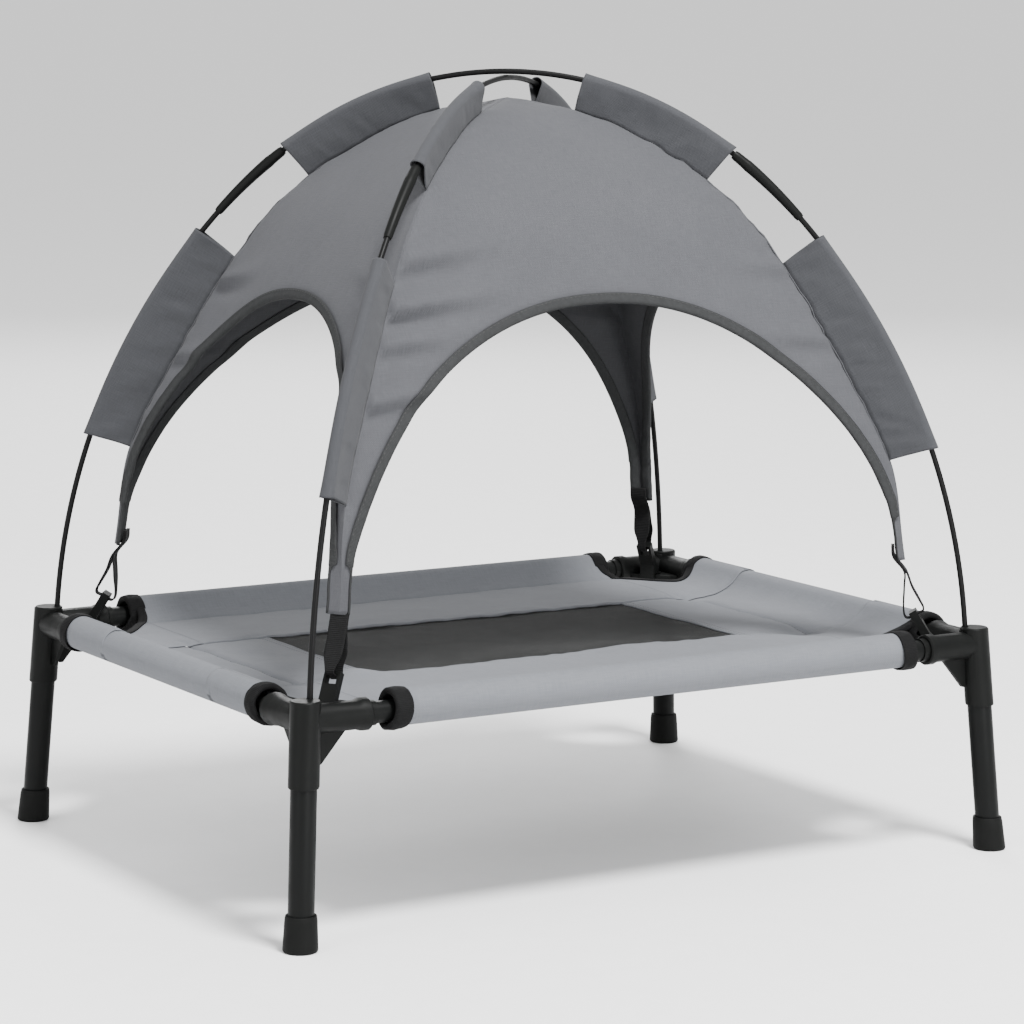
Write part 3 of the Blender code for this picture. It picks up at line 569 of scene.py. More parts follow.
def seam_wave(corner, at):
    """How far the ridge's seam stands out of its smooth line."""
    strength = ease((at - ridge_reach(WAVER_FOOT)) / 0.05) * (1 - ease((at - RIDGE_LENGTH + 0.06) / 0.05))
    order = list(CORNERS).index(corner)
    return GATHER[corner] * strength * (waver(at * 75, 0, 0, order) + 0.6 * waver(at * 170, 0, 0, order + 5))


def dome(side, x, at, lift=0.0):
    """A point on a side's panel: x sideways, at along the ridge, lift outwards from the cloth's middle."""
    long_side, sign, corners = SIDES[side]
    along, sideways = factors(side)
    point, normal = ridge_at(at)
    slope = Vector((normal.x, normal.y * along)).normalized()
    half = point.x * sideways
    corner = next(c for c in corners if (CORNERS[c][0 if long_side else 1] > 0) == (x >= 0))
    inboard = max(half - abs(x), 0.0)
    relief = SWELL * waver(x * 13, at * 13, 0, len(side)) * ease(inboard / 0.010)
    order = list(CORNERS).index(corner) + (4 if long_side else 0)
    gather = waver(at * 105 + 0.4 * inboard * 105, inboard * 12, 0, order)
    relief += PUCKER[corner] * gather * ease(inboard / 0.003) * exp(-inboard / 0.022)
    relief -= SEAM_GROOVE * bell(inboard, 0.0035) * ease((at - ridge_reach(WAVER_FOOT)) / 0.02)
    for start, slant, reach, tall, wide in FOLDS.get((side, corner), ()):
        offset = point.y - start - slant * inboard
        fade = ease(inboard / 0.007) * (1 - ease((inboard - 0.015) / reach))
        bow = wide * (1 + 0.8 * inboard / reach)
        upper = bow * (0.85 if offset > 0 else 0.45)
        hollow = bell(offset + 1.2 * bow, 0.65 * bow)
        relief += FOLD_DEPTH * tall * fade * (bell(offset, upper) - 0.7 * hollow)
    out = point.x * along + slope.x * (lift + relief)
    z = point.y + slope.y * (lift + relief)
    spot = Vector((x, out * sign, z)) if long_side else Vector((out * sign, x, z))
    wave = seam_wave(corner, at) * exp(-inboard / 0.012)
    spot += on_diagonal(corner, normal.x * wave, normal.y * wave)
    return flattened(corner, spot, point.x)


def flattened(corner, spot, s_ridge):
    """The tab at a corner's foot lies flat across the diagonal. The panels above it meet at a right angle."""
    share = 1 - ease((spot.z - FLAT_TAB[1]) / (FLAT_TAB[0] - FLAT_TAB[1]))
    if share <= 0:
        return spot
    out, across = diagonal_of(corner)
    flat = Vector((spot.x, spot.y))
    s, side = flat.dot(out), flat.dot(across)
    flat_share = TAB_FLAT.get(corner, TAB_FLAT_ELSEWHERE) * share
    s = s_ridge - (s_ridge - s) * (1 - flat_share) - 0.0020 * flat_share
    return on_diagonal(corner, s, spot.z, side * (1 + 0.15 * share))


def door_point(side, step):
    """(x, at) on a side's door edge; step runs from 0 at one tab's foot to 1 at the other's."""
    sideways = factors(side)[1]
    half_step = 1 - abs(step * 2 - 1)
    sign = -1 if step < 0.5 else 1
    foot_half = float(np.interp(DOOR_FOOT, RIDGE_Z, RIDGE_S)) * sideways - TAB_HALF
    if half_step < STRAP_SHARE:
        at = ridge_reach(DOOR_FOOT) * half_step / STRAP_SHARE
        return sign * (ridge_s(at) * sideways - TAB_HALF), at
    across, up = DOOR_POWERS[SIDES[side][0]]
    a = (half_step - STRAP_SHARE) / (1 - STRAP_SHARE) * pi / 2
    x = foot_half * max(cos(a), 0.0) ** (2 / across)
    z = DOOR_FOOT + (DOOR_TOP - DOOR_FOOT) * sin(a) ** (2 / up)
    return sign * x, ridge_reach(z)


def ridge_step(step):
    """Distance along the ridge that a panel's column reaches."""
    half_step = 1 - abs(step * 2 - 1)
    foot = ridge_reach(DOOR_FOOT)
    if half_step < STRAP_SHARE:
        return foot * half_step / STRAP_SHARE
    return foot + (RIDGE_LENGTH - foot) * ((half_step - STRAP_SHARE) / (1 - STRAP_SHARE)) ** PANEL_SPREAD


def panel_place(side, i, j):
    """(x, at) on a side's panel: row i counts from the door to the ridge, column j from tab to tab."""
    share, step = i / PANEL_ROWS, j / PANEL_COLUMNS
    x, at = door_point(side, step)
    top = ridge_step(step)
    edge = ridge_s(top) * factors(side)[1] * (-1 if step < 0.5 else 1)
    return x + (edge - x) * share, at + (top - at) * share


def build_canopy():
    """The four panels as one sewn sheet, welded along the ridges and at the top."""
    shell = Shell()
    for side in SIDES:
        places = [[panel_place(side, i, j) for j in range(PANEL_COLUMNS + 1)] for i in range(PANEL_ROWS + 1)]
        start = len(shell.points)
        shell.grid([[dome(side, *place) for place in row] for row in places], flip=side in FLIPPED)
        shell.cloth[start:] = [(*place, 0.0) for row in places for place in row]
    nodes = ["canopy_panel_" + side for side in SIDES]
    canopy = piece("canopy_sheet", shell, [CANOPY_OUT, CANOPY_INSIDE_SHADE], "canopy", nodes,
                   THICK["canopy"])
    canopy.modifiers.new("sewn", "WELD").merge_threshold = SEWN
    canopy.modifiers.move(1, 0)
    return canopy, shell


def build_door_tape(side):
    """Tape folded round a door's edge, with its row of stitches."""
    steps = [k / 200 for k in range(201)]
    points = [door_point(side, step) for step in steps]
    section = folded([(0.0065, 0.0014), (0.0050, 0.0016), (0.0030, 0.0016), (0.0010, 0.0016)])
    section[4:4] = [(-0.0003 - 0.0012 * cos(radians(d)), 0.0016 * sin(radians(d)))
                    for d in (60, 30, 0, -30, -60)]
    rows, path, ups = [], [], []
    for k, (x, at) in enumerate(points):
        run = run_at(points, k)
        away = Vector((-run.y, run.x))
        half_step = 1 - abs(steps[k] * 2 - 1)
        outside = ease((half_step - STRAP_SHARE * 0.85) / (STRAP_SHARE * 0.3))
        row = []
        for w, h in section:
            if w < 0:
                w *= max(outside, 0.2)
            elif h > 0:
                w, h = w * outside, 0.0004 + (h - 0.0004) * outside
            row.append(dome(side, x + away.x * w, at + away.y * w, h))
        rows.append(row)
        if outside > 0.99:
            path.append(dome(side, x + away.x * 0.0050, at + away.y * 0.0050, 0.0024))
            ups.append(dome(side, x, at, 0.01) - dome(side, x, at))
    shell = Shell()
    shell.grid(rows, flip=side in FLIPPED)
    shell.turn_cloth()
    tape = piece("door_tape_fold_" + side, shell, [DOOR_TAPE], "canopy", ["door_tape_" + side],
                 THICK["cloth"], offset=1.0)
    thread = Shell()
    thread.stitches(path, ups)
    piece("door_stitches_" + side, thread, [DARK_THREAD], "canopy")
    return tape


def pole_frame(corner, angle):
    """(pole's centre, outward normal, run upwards) in a corner's plane."""
    squash = squash_of(corner)
    here = pole_point(angle, squash)
    run = (pole_point(angle + 0.2, squash) - pole_point(angle - 0.2, squash)).normalized()
    return here, Vector((run.y, -run.x)), run


def seam_below(corner, angle):
    """The ridge's point straight inwards from a pole, and its distance along the ridge."""
    here, _, run = pole_frame(corner, angle)
    lateral = (RIDGE_S - here.x) * run.x + (RIDGE_Z - here.y) * run.y
    at = float(np.interp(0.0, lateral, RIDGE_AT))
    point, normal = ridge_at(at)
    return point + normal * seam_wave(corner, at), at


FLANK = (0.0, 0.14, 0.28, 0.42, 0.56, 0.70, 0.85)    # shares of the way from a sleeve's seam to its loop
LOOP_STEPS = 14
WRINKLE = {"front_left": 0.0010, "front_right": 0.0019, "back_left": 0.0012, "back_right": 0.0010}
MOUTH = 0.0011               # how much wider a sleeve's loop is at its mouths
MOUTH_FADE = 14


def sleeve_section(radius, depth):
    """A sleeve's loop round the pole at the origin, closed at a seam that lies depth inwards."""
    tangent = acos(min(radius / depth, 0.98))
    touch = Vector((-cos(tangent), sin(tangent))) * radius
    low = Vector((-depth - 0.0022, 0.0004))
    flank = [low.lerp(touch, w) for w in FLANK]
    arc = [tangent + (2 * pi - 2 * tangent) * j / LOOP_STEPS for j in range(LOOP_STEPS + 1)]
    return (flank + [Vector((-cos(t), sin(t))) * radius for t in arc]
            + [Vector((p.x, -p.y)) for p in flank[::-1]])


def build_sleeve(corner, part, angles, count):
    """A pole sleeve: a loop of cloth over the pole, closed by the seam on the ridge."""
    order = list(CORNERS).index(corner) + (10 if part == "upper" else 0)
    wrinkle = WRINKLE[corner] * (1.0 if part == "lower" else 0.7)
    rows = []
    start, end = angles
    for k in range(count + 1):
        share = k / count
        angle = start + (end - start) * share
        here, out, run = pole_frame(corner, angle)
        seam, at = seam_below(corner, angle)
        mouth = max(exp(-share * MOUTH_FADE), exp(-(1 - share) * MOUTH_FADE))
        section = sleeve_section(SLEEVE_R + MOUTH * mouth, (seam - here).length)
        last = len(section) - 1
        row = []
        for j, p in enumerate(section):
            # the wrinkles are on the flanks, with none at the seam and none round the pole
            hold = sin(pi * min(min(j, last - j) / len(FLANK), 1))
            slanted = at + 0.45 * p.x
            ripple = (waver(slanted * 75, p.x * 40, 0, order)
                      + 0.5 * waver(slanted * 190, p.x * 60, 0, order + 3))
            grown = Vector((p.x, p.y + wrinkle * hold * ripple))
            # the loop leans a little to one side, as a loose sleeve does
            grown.y += 0.0006 * sin(at * 40 + order) * hold
            # the mouth's edge isn't cut square
            slip = 0.0012 * mouth * cos(2 * pi * (j / last))
            flat = here + out * grown.x + run * slip
            row.append(on_diagonal(corner, flat.x, flat.y, grown.y))
        rows.append(row)
    shell = Shell()
    shell.grid(rows, flip=True)
    shell.turn_cloth()
    name = part + "_sleeve_"
    sleeve = piece(name + "cloth_" + corner, shell, [SLEEVE_CLOTH, CANOPY_INSIDE_SHADE], "canopy",
                   [name + corner], THICK["cloth"])
    return sleeve, shell


# ---- sling
STITCH_LONG = 0.0307         # from a tube's axis to the stitches that close its sleeve
STITCH_SHORT = 0.0620
SEAM_Y = 0.0900
STRIP_HALF = 0.2224          # half the straight part of a front or back strip; its corner fields lie beyond
END_HALF = 0.1667            # the same for a side panel's roll
SLING_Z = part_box("mesh_panel")[1].z
# dents and bulges: x, y, height and width
SLING_BUMPS = ((-0.187, -0.095, 0.0075, 0.020), (0.2225, -0.088, -0.0060, 0.022),
               (0.239, 0.090, -0.0035, 0.022), (-0.245, 0.080, -0.0008, 0.020),
               (0.060, -0.100, 0.0018, 0.030), (-0.060, 0.105, 0.0015, 0.030),
               (-0.205, 0.060, 0.0015, 0.022), (0.190, 0.020, -0.0018, 0.030),
               (-0.200, -0.020, 0.0015, 0.026))
ROLL_TOUCH = 0.0095          # the cloth leaves its roll this far inboard of the tube's axis
ROLL_FOOT = 0.0360           # and is down on the sling here
STRIP_LIFT = 0.0011          # a front or back strip lies this far over the side panels
GROOVE = (0.0006, 0.0012)    # depth and width of a row of stitches
HEM_THICK = (0.0019, 0.0012)
HEM_Y = 0.094
HEM_FADE = 0.006
FLARE_X = 0.170              # beyond this the strips' inner edge runs out to the side panels' seam
WRAP_TOP_ROWS = 10           # the rows of a roll's far side that lie on top


def roll_lift(inboard):
    """The height a roll pulls the cloth to, inboard of the tube's axis, and the share of the way there."""
    if inboard <= ROLL_TOUCH:
        return ROLL_Z + sqrt(max(ROLL_R ** 2 - inboard ** 2, 0.0)), 1.0
    rim = sqrt(ROLL_R ** 2 - ROLL_TOUCH ** 2)
    t = min(max((ROLL_FOOT - inboard) / (ROLL_FOOT - ROLL_TOUCH), 0.0), 1.0)
    steep = ROLL_TOUCH / rim * (ROLL_FOOT - ROLL_TOUCH)
    return ROLL_Z + rim, (3 * t * t - 2 * t ** 3) + (t ** 3 - t * t) * steep / (ROLL_Z + rim - SLING_Z)


def sling_height(x, y):
    """Height of the sling's upper layer."""
    base = SLING_Z + 0.0007 * waver(x * 22, y * 22, 0, 21) + 0.0004 * waver(x * 60, y * 60, 0, 22)
    for bx, by, tall, wide in SLING_BUMPS:
        base += tall * exp(-((x - bx) ** 2 + (y - by) ** 2) / wide ** 2)
    z = base
    ax, ay = abs(x), abs(y)
    seam = bell(ay - SEAM_Y - 0.0035, 0.0042) * ease((ax - 0.160) / 0.012)
    pocket = bell(ax - CORNER.x + STITCH_SHORT, 0.0030) * (1 - ease((ay - 0.103) / 0.006))
    pocket_long = bell(ay - CORNER.y + STITCH_LONG, 0.0030)
    pull = waver(x * 55 + 9, y * 55, 0, 61) + 0.6 * waver(x * 120, y * 120, 0, 62)
    z -= (0.0011 * seam * (1 + 0.6 * pull) + 0.0012 * pocket * (1 + 0.5 * pull)
          + 0.0010 * pocket_long * (1 + 0.5 * pull))
    near_seam = max(seam, pocket, pocket_long, bell(ay - MESH_HALF[1], 0.012))
    z += 0.0007 * near_seam * waver(x * 95, y * 95, 0, 63)
    for inboard, mask in ((CORNER.y - ay, 1 - ease((ax - STRIP_HALF) / 0.020)),
                          (CORNER.x - ax, 1 - ease((ay - END_HALF) / 0.020))):
        top, share = roll_lift(max(inboard, 0.0))
        z += (top - base) * share * mask
    return z


def lined(low, high, count, extra=()):
    """Evenly spaced numbers with extra ones put in."""
    made = [low + (high - low) * k / count for k in range(count + 1)]
    made += [value for value in extra if low < value < high]
    return sorted(set(round(value, 6) for value in made))


def wrap_line(inboard_end, height, step_up):
    """A roll's far side and lower layer at one station, as (distance inboard, height) points."""
    made = [(-ROLL_R * cos(a), ROLL_Z + ROLL_R * sin(a)) for a in map(radians, range(80, -111, -10))]
    start = made[-1]
    last = (inboard_end, height - step_up)
    for k in range(1, 9):
        t = k / 8
        made.append((start[0] + (last[0] - start[0]) * t, start[1] + (last[1] - start[1]) * ease(t * 1.15)))
    return made


def wrapped(stations, wraps, lift, place):
    """Rows round a roll: place(station, distance inboard, height) gives a point."""
    return [[place(at, w, z + (lift if k < WRAP_TOP_ROWS else 0)) for at, (w, z) in zip(stations, line)]
            for k, line in enumerate(zip(*wraps))]


def with_groove(low, high, count, groove):
    """Evenly spaced numbers, with more of them at a groove."""
    return lined(low, high, count, (groove - GROOVE[1], groove, groove + GROOVE[1]))


def sling_strip(sign, name):
    """A front or back strip: its middle, its two corner fields and the ends of the short sides' sleeves."""
    shell = Shell()
    xs = lined(-STRIP_HALF, STRIP_HALF, 220)
    groove = CORNER.y - STITCH_LONG
    rows = []
    for y in with_groove(MESH_HALF[1], CORNER.y, 60, groove):
        dent = GROOVE[0] * bell(y - groove, GROOVE[1])
        hem = ease((HEM_Y - y) / HEM_FADE)
        row = []
        for x in xs:
            if abs(x) < FLARE_X:
                inner = 0.0022 * hem * waver(x * 26, 0, 0, 31 + sign)
            else:
                inner = (SEAM_Y - MESH_HALF[1]) * ease((abs(x) - FLARE_X) / 0.050) * hem
            row.append(Vector((x, (y + inner) * sign, sling_height(x, y * sign) + STRIP_LIFT - dent)))
        rows.append(row)
    wraps = [wrap_line(STITCH_LONG, sling_height(x, groove * sign), 0.0010) for x in xs]
    rows += wrapped(xs, wraps, STRIP_LIFT, lambda x, w, z: Vector((x, (CORNER.y - w) * sign, z)))
    rows.insert(0, [p - Vector((0, 0, HEM_THICK[0])) for p in rows[0]])
    shell.grid(rows, flip=sign < 0)
    edge_x = [CORNER.x - p[0] for p in NOTCH] + [CORNER.x]
    edge_y = [CORNER.y - p[1] for p in NOTCH] + [CORNER.y - CUFF_SHORT[0]]
    for end in (-1, 1):
        def on_top(x, y):
            return Vector((x * end, y * sign, sling_height(x * end, y * sign) + STRIP_LIFT))

        columns = [(x, float(np.interp(x, edge_x, edge_y))) for x in lined(STRIP_HALF, CORNER.x, 44, edge_x)]
        shell.grid([[on_top(x, SEAM_Y + (high - SEAM_Y) * k / 40) for x, high in columns] for k in range(41)],
                   flip=(sign > 0) != (end > 0))
        ys = lined(SEAM_Y, CORNER.y - CUFF_SHORT[0] - 0.003, 30)
        reach = STITCH_SHORT * 0.55
        wraps = [wrap_line(reach, sling_height(end * (CORNER.x - reach), y * sign), 0.0012) for y in ys]
        rows = [[on_top(CORNER.x, y) for y in ys]]
        rows += wrapped(ys, wraps, STRIP_LIFT, lambda y, w, z: Vector(((CORNER.x - w) * end, y * sign, z)))
        shell.grid(rows, flip=(sign > 0) == (end > 0))
    return piece("sling_" + name, shell, [BED_CLOTH, BED_UNDERSIDE_SHADE], "frame", ["border_" + name],
                 THICK["cloth"]), shell


def sling_end(end, name):
    """A left or right panel, between the mesh and the short tube's sleeve."""
    shell = Shell()
    ys = lined(-SEAM_Y - 0.006, SEAM_Y + 0.006, 110)
    groove = CORNER.x - STITCH_SHORT
    rows = []
    for x in with_groove(MESH_HALF[0], CORNER.x, 60, groove):
        dent = GROOVE[0] * bell(x - groove, GROOVE[1])
        hem = 0.0020 * ease((0.172 - x) / HEM_FADE)
        rows.append([Vector(((x + hem * waver(y * 26, 0, 0, 41 + end)) * end, y,
                             sling_height(x * end, y) - dent)) for y in ys])
    wraps = [wrap_line(STITCH_SHORT, sling_height(groove * end, y), 0.0012) for y in ys]
    rows += wrapped(ys, wraps, 0, lambda y, w, z: Vector(((CORNER.x - w) * end, y, z)))
    rows.insert(0, [p - Vector((0, 0, HEM_THICK[1])) for p in rows[0]])
    shell.grid(rows, flip=end > 0)
    return piece("sling_" + name, shell, [BED_CLOTH, BED_UNDERSIDE_SHADE], "frame", ["border_" + name],
                 THICK["cloth"]), shell


NET_TUCK = 0.007             # the net goes this far under the borders


def build_net():
    """The see-through mesh in the middle, which sags a little between the borders."""
    reach = (MESH_HALF[0] + NET_TUCK, MESH_HALF[1] + NET_TUCK)
    xs, ys = lined(-reach[0], reach[0], 84), lined(-reach[1], reach[1], 46)
    rows = []
    for y in ys:
        row = []
        for x in xs:
            edge = min(reach[0] - abs(x), reach[1] - abs(y))
            sag = 0.0026 * ease(edge / 0.085) + 0.0004 * waver(x * 18, y * 18, 0, 51)
            edge_share = 1 - ease((edge - 0.006) / 0.035)
            rim = sling_height(x, y) - SLING_Z
            row.append(Vector((x, y, SLING_Z - 0.0010 - sag + rim * edge_share)))
        rows.append(row)
    shell = Shell()
    shell.grid(rows)
    return piece("mesh_sheet", shell, [NET], "frame", ["mesh_panel"], THICK["net"])


def notch_curve(corner):
    """The notch's edge, from the long tube's sleeve to the short one's, as x, y points."""
    sx, sy = CORNERS[corner]
    return [Vector((sx * (CORNER.x - p.x), sy * (CORNER.y - p.y))) for p in smooth_curve(NOTCH, 12)]


def build_binding(corner):
    """The black tape of one corner: along the notch and round the two sleeves' mouths."""
    sx, sy = CORNERS[corner]
    shell = Shell()
    line = notch_curve(corner)
    section = folded([(0.0062, 0.0013), (0.0045, 0.0016), (0.0022, 0.0016), (0.0004, 0.0016),
                      (-0.0006, 0.0009)])
    rows = []
    for k, p in enumerate(line):
        run = run_at(line, k)
        inward = Vector((-run.y, run.x))
        if inward.dot(Vector((sx, sy))) > 0:
            inward = -inward
        row = []
        for w, h in section:
            q = p + inward * (w - 0.0005)
            row.append(Vector((q.x, q.y, sling_height(q.x, q.y) + 0.0003 + h)))
        rows.append(row)
    shell.grid(rows, flip=sx * sy > 0)
    for long_tube, (near, far) in ((True, CUFF_LONG), (False, CUFF_SHORT)):
        rows = []
        for k in range(25):
            turn = k / 24
            # from the far edge outside, over the mouth's lip, and back inside
            share = abs(1 - 2 * turn)
            distance = near + (far - near) * share
            inner = ease((turn - 0.46) / 0.08)
            lip = 0.0006 * bell(turn - 0.5, 0.06)
            rows.append(cuff_ring(long_tube, sx, sy, distance - lip, share, inner))
        shell.grid(rows, closed=True, flip=(sx * sy > 0) != long_tube)
    piece("binding_tape_" + corner, shell, [TAPE], "frame", ["binding_" + corner],
          THICK["tape"], offset=0.0)


def cuff_ring(long_tube, sx, sy, distance, share, inner):
    """One line round a cuff: a loose loop over the roll, drawn out to a point on the inboard side."""
    puff = (0.0019 + 0.0006 * sin(share * pi)) * (1 - inner) - 0.0016 * inner
    points = []
    for j in range(41):
        a = radians(150 - 300 * j / 40)
        radius = ROLL_R + puff + 0.0004 * waver(share * 3, j * 0.4, 0, sx + 3 * sy)
        points.append((radius * cos(a), ROLL_Z + radius * sin(a) * 0.97, a))
    tail = 0.0155 - 0.0010 * inner
    top, bottom = points[0], points[-1]
    over, under = [], []
    for t in (0.25, 0.5, 0.75, 1.0):
        high = SLING_Z + 0.0048 - 0.0014 * inner
        low = SLING_Z + 0.0012 + 0.0014 * inner
        over.append((top[0] * (1 - t) - tail * t, top[1] * (1 - ease(t)) + high * ease(t), 2.6))
        under.append((bottom[0] * (1 - t) - tail * t, bottom[1] * (1 - ease(t)) + low * ease(t), -2.6))
    made = []
    for w, z, a in over[::-1] + points + under:
        slant = 0.0018 * sin(a) + 0.0008 * cos(a * 2) - 0.0012
        made.append(cuff_point(long_tube, sx, sy, distance + slant, w, z))
    return made


def cuff_point(long_tube, sx, sy, distance, w, z):
    """A point of a cuff: distance is along the tube from the connector's axis, w outwards from the tube's."""
    if long_tube:
        return Vector((sx * (CORNER.x - distance), sy * (CORNER.y + w), z))
    return Vector((sx * (CORNER.x + w), sy * (CORNER.y - distance), z))


def build_sling_stitches():
    """The rows of stitches on the sling."""
    shell = Shell()
    up = Vector((0, 0, 1))

    def row(points, lift=0.0007):
        path = [Vector((x, y, sling_height(x, y) + lift)) for x, y in points]
        shell.stitches(path, [up] * len(path))

    for sign in (-1, 1):
        y = sign * (CORNER.y - STITCH_LONG)
        row([(x, y) for x in lined(-0.216, 0.216, 90)], 0.0002)
        for inset in (0.0020, 0.0065):
            row([(x, sign * (MESH_HALF[1] + inset)) for x in lined(-0.166, 0.166, 70)])
        x = sign * (CORNER.x - STITCH_SHORT)
        row([(x, y) for y in lined(-0.089, 0.089, 40)], -0.0004)
        for inset in (0.0020, 0.0065):
            row([(sign * (MESH_HALF[0] + inset), y) for y in lined(-0.086, 0.086, 40)], 0.0001)
        for end in (-1, 1):
            for inset in (0.0018, 0.0060):
                row([(end * x, sign * (SEAM_Y + inset)) for x in lined(0.168, 0.293, 50)])
            row([(end * x, sign * 0.1050) for x in lined(0.231, 0.265, 14)])
            row([(end * 0.2330, sign * y) for y in lined(0.092, 0.105, 8)])
    piece("sling_stitches", shell, [THREAD], "frame")


# ---- hard parts
def leg_place(corner, z):
    """A point on a leg's axis."""
    sx, sy = CORNERS[corner]
    middle = CORNER.lerp(FOOT, (CONNECTOR_TOP - z) / CONNECTOR_TOP)
    return Vector((middle.x * sx, middle.y * sy, z))


def build_leg(corner):
    """A leg's tube and its cap, which stands level on the floor."""
    shell = Shell()
    top, bottom = leg_place(corner, LEG_TOP), leg_place(corner, LEG_END)
    length = (bottom - top).length
    shell.turned(softened([(0.0, 0.0), (0.0, LEG_R), (length, LEG_R), (length, 0.0)], 0.0008),
                 top, (bottom - top).normalized())
    piece("leg_tube_" + corner, shell, [STEEL], "leg_" + corner, ["leg_" + corner], sharp=40)
    profile = softened([(0.0, 0.0), (0.0, FOOT_R[0] - 0.0012), (0.0012, FOOT_R[0]),
                        (FOOT_HEIGHT - 0.0035, FOOT_R[1]), (FOOT_HEIGHT, FOOT_R[1] - 0.0006),
                        (FOOT_HEIGHT, LEG_R + 0.0002), (FOOT_HEIGHT - 0.006, LEG_R + 0.0002)], 0.0010)
    cap = Shell()
    x, y = Vector((1, 0, 0)), Vector((0, 1, 0))
    cap.grid([ring(leg_place(corner, z), x, y, radius, 56) for z, radius in profile], closed=True)
    piece("foot_cap_" + corner, cap, [RUBBER], "leg_" + corner, ["foot_" + corner], sharp=45)


def build_tube(side):
    long_side, sign, _ = SIDES[side]
    half = (CORNER.x if long_side else CORNER.y) - TUBE_START
    if long_side:
        start, axis = Vector((-half, CORNER.y * sign, TUBE_Z)), Vector((1, 0, 0))
    else:
        start, axis = Vector((CORNER.x * sign, -half, TUBE_Z)), Vector((0, 1, 0))
    shell = Shell()
    shell.turned([(0.0, 0.0), (0.0, TUBE_R), (2 * half, TUBE_R), (2 * half, 0.0)], start, axis)
    piece("steel_tube_" + side, shell, [STEEL], "frame", ["tube_" + side], sharp=40)


def pole_path(corner, angles):
    """A pole's middle line on a corner's side, through these angles."""
    line = [pole_point(angle, squash_of(corner)) for angle in angles]
    return [on_diagonal(corner, p.x, p.y) for p in line]


def build_rod(name, path, radii, material, node, sides=20):
    shell = Shell()
    shell.swept(path, radii, sides)
    piece(name, shell, [material], "canopy", [node], sharp=50)


def build_rods():
    """The poles: a lower rod and a ferrule at each corner, and the two that cross at the top."""
    foot = ARC_ANGLES[0]
    for corner in CORNERS:
        path = pole_path(corner, [foot + (ROD_JOINT - ROD_GAP - foot) * k / 60 for k in range(61)])
        path.insert(0, Vector((path[0].x, path[0].y, ROD_TIP_Z)))
        build_rod("pole_" + corner, path, [ROD_R] * len(path), ROD, "rod_" + corner)
        path = pole_path(corner, [FERRULE[0] + (FERRULE[1] - FERRULE[0]) * (k / 30) for k in range(31)])
        radii = [float(np.interp(k / 30, (0.0, FERRULE_SHOULDER, 0.84, 1.0),
                                 (FERRULE_R[0], FERRULE_R[1], FERRULE_R[1] - 0.0003, FERRULE_R[2])))
                 for k in range(31)]
        radii[0] *= 0.88
        radii[-1] *= 0.88
        build_rod("pole_ferrule_" + corner, path, radii, PLASTIC, "ferrule_" + corner, 32)
    half = [90 - (90 - ROD_JOINT - ROD_GAP) * k / 60 for k in range(61)]
    for name, first, second in (("upper", "back_left", "front_right"), ("lower", *LOWER_POLE)):
        path = pole_path(first, half[:0:-1]) + pole_path(second, half)
        build_rod("top_pole_" + name, path, [ROD_R] * len(path), ROD, "top_rod_" + name)


# ---- webbing and hooks
# (distance from the middle, height) down the outer layer, round the hook's bar and up the inner layer
WEBBING_LINE = ((0.3098, 0.2400), (0.3112, 0.2310), (0.3152, 0.2200), (0.3200, 0.2080), (0.3262, 0.1970),
                (0.3292, 0.1915), (0.3290, 0.1885), (0.3262, 0.1870), (0.3224, 0.1849), (0.3186, 0.1828),
                (0.3156, 0.1832), (0.3140, 0.1870), (0.3136, 0.1950), (0.3139, 0.2070), (0.3136, 0.2200),
                (0.3098, 0.2310), (0.3084, 0.2400))
WEBBING_INSIDE = 0.0048
WEBBING_END = (0.3230, 0.1890)
WEBBING_HALF = (0.0070, 0.0036)    # half width, and how much of it goes at the hook's bar


def build_webbing(corner):
    """A strap from inside the tab, round the hook's bar and back."""
    # the upper end goes further in where the tab above is V-shaped
    inside = 0.0 if corner in TAB_FLAT else WEBBING_INSIDE
    line = smooth_curve([Vector((s - inside * ease((z - 0.2200) / 0.0100), z)) for s, z in WEBBING_LINE], 6)
    rows = []
    for k, p in enumerate(line):
        run = run_at(line, k)
        normal = Vector((run.y, -run.x))
        width = WEBBING_HALF[0] - WEBBING_HALF[1] * (1 - ease((p.y - WEBBING_END[1]) / 0.014))
        row = []
        for w in range(-6, 7):
            share = w / 6
            crown = 0.0003 * (1 - share * share)
            row.append(on_diagonal(corner, p.x + normal.x * crown, p.y + normal.y * crown, share * width))
        rows.append(row)
    shell = Shell()
    shell.grid(rows)
    shell.turn_cloth()
    strap = piece("webbing_strap_" + corner, shell, [WEBBING], None, ["webbing_" + corner],
                  THICK["webbing"], offset=0.0)
    apply_modifiers(strap)
    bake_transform(strap)


def apply_modifiers(obj):
    """Put the modifiers' result in the mesh."""
    depsgraph = bpy.context.evaluated_depsgraph_get()
    mesh = bpy.data.meshes.new_from_object(obj.evaluated_get(depsgraph))
    obj.modifiers.clear()
    obj.data = mesh


SMOOTH_BELOW = radians(32)
BEVEL_FROM = radians(40)
CLOSE_ENOUGH = 0.00002


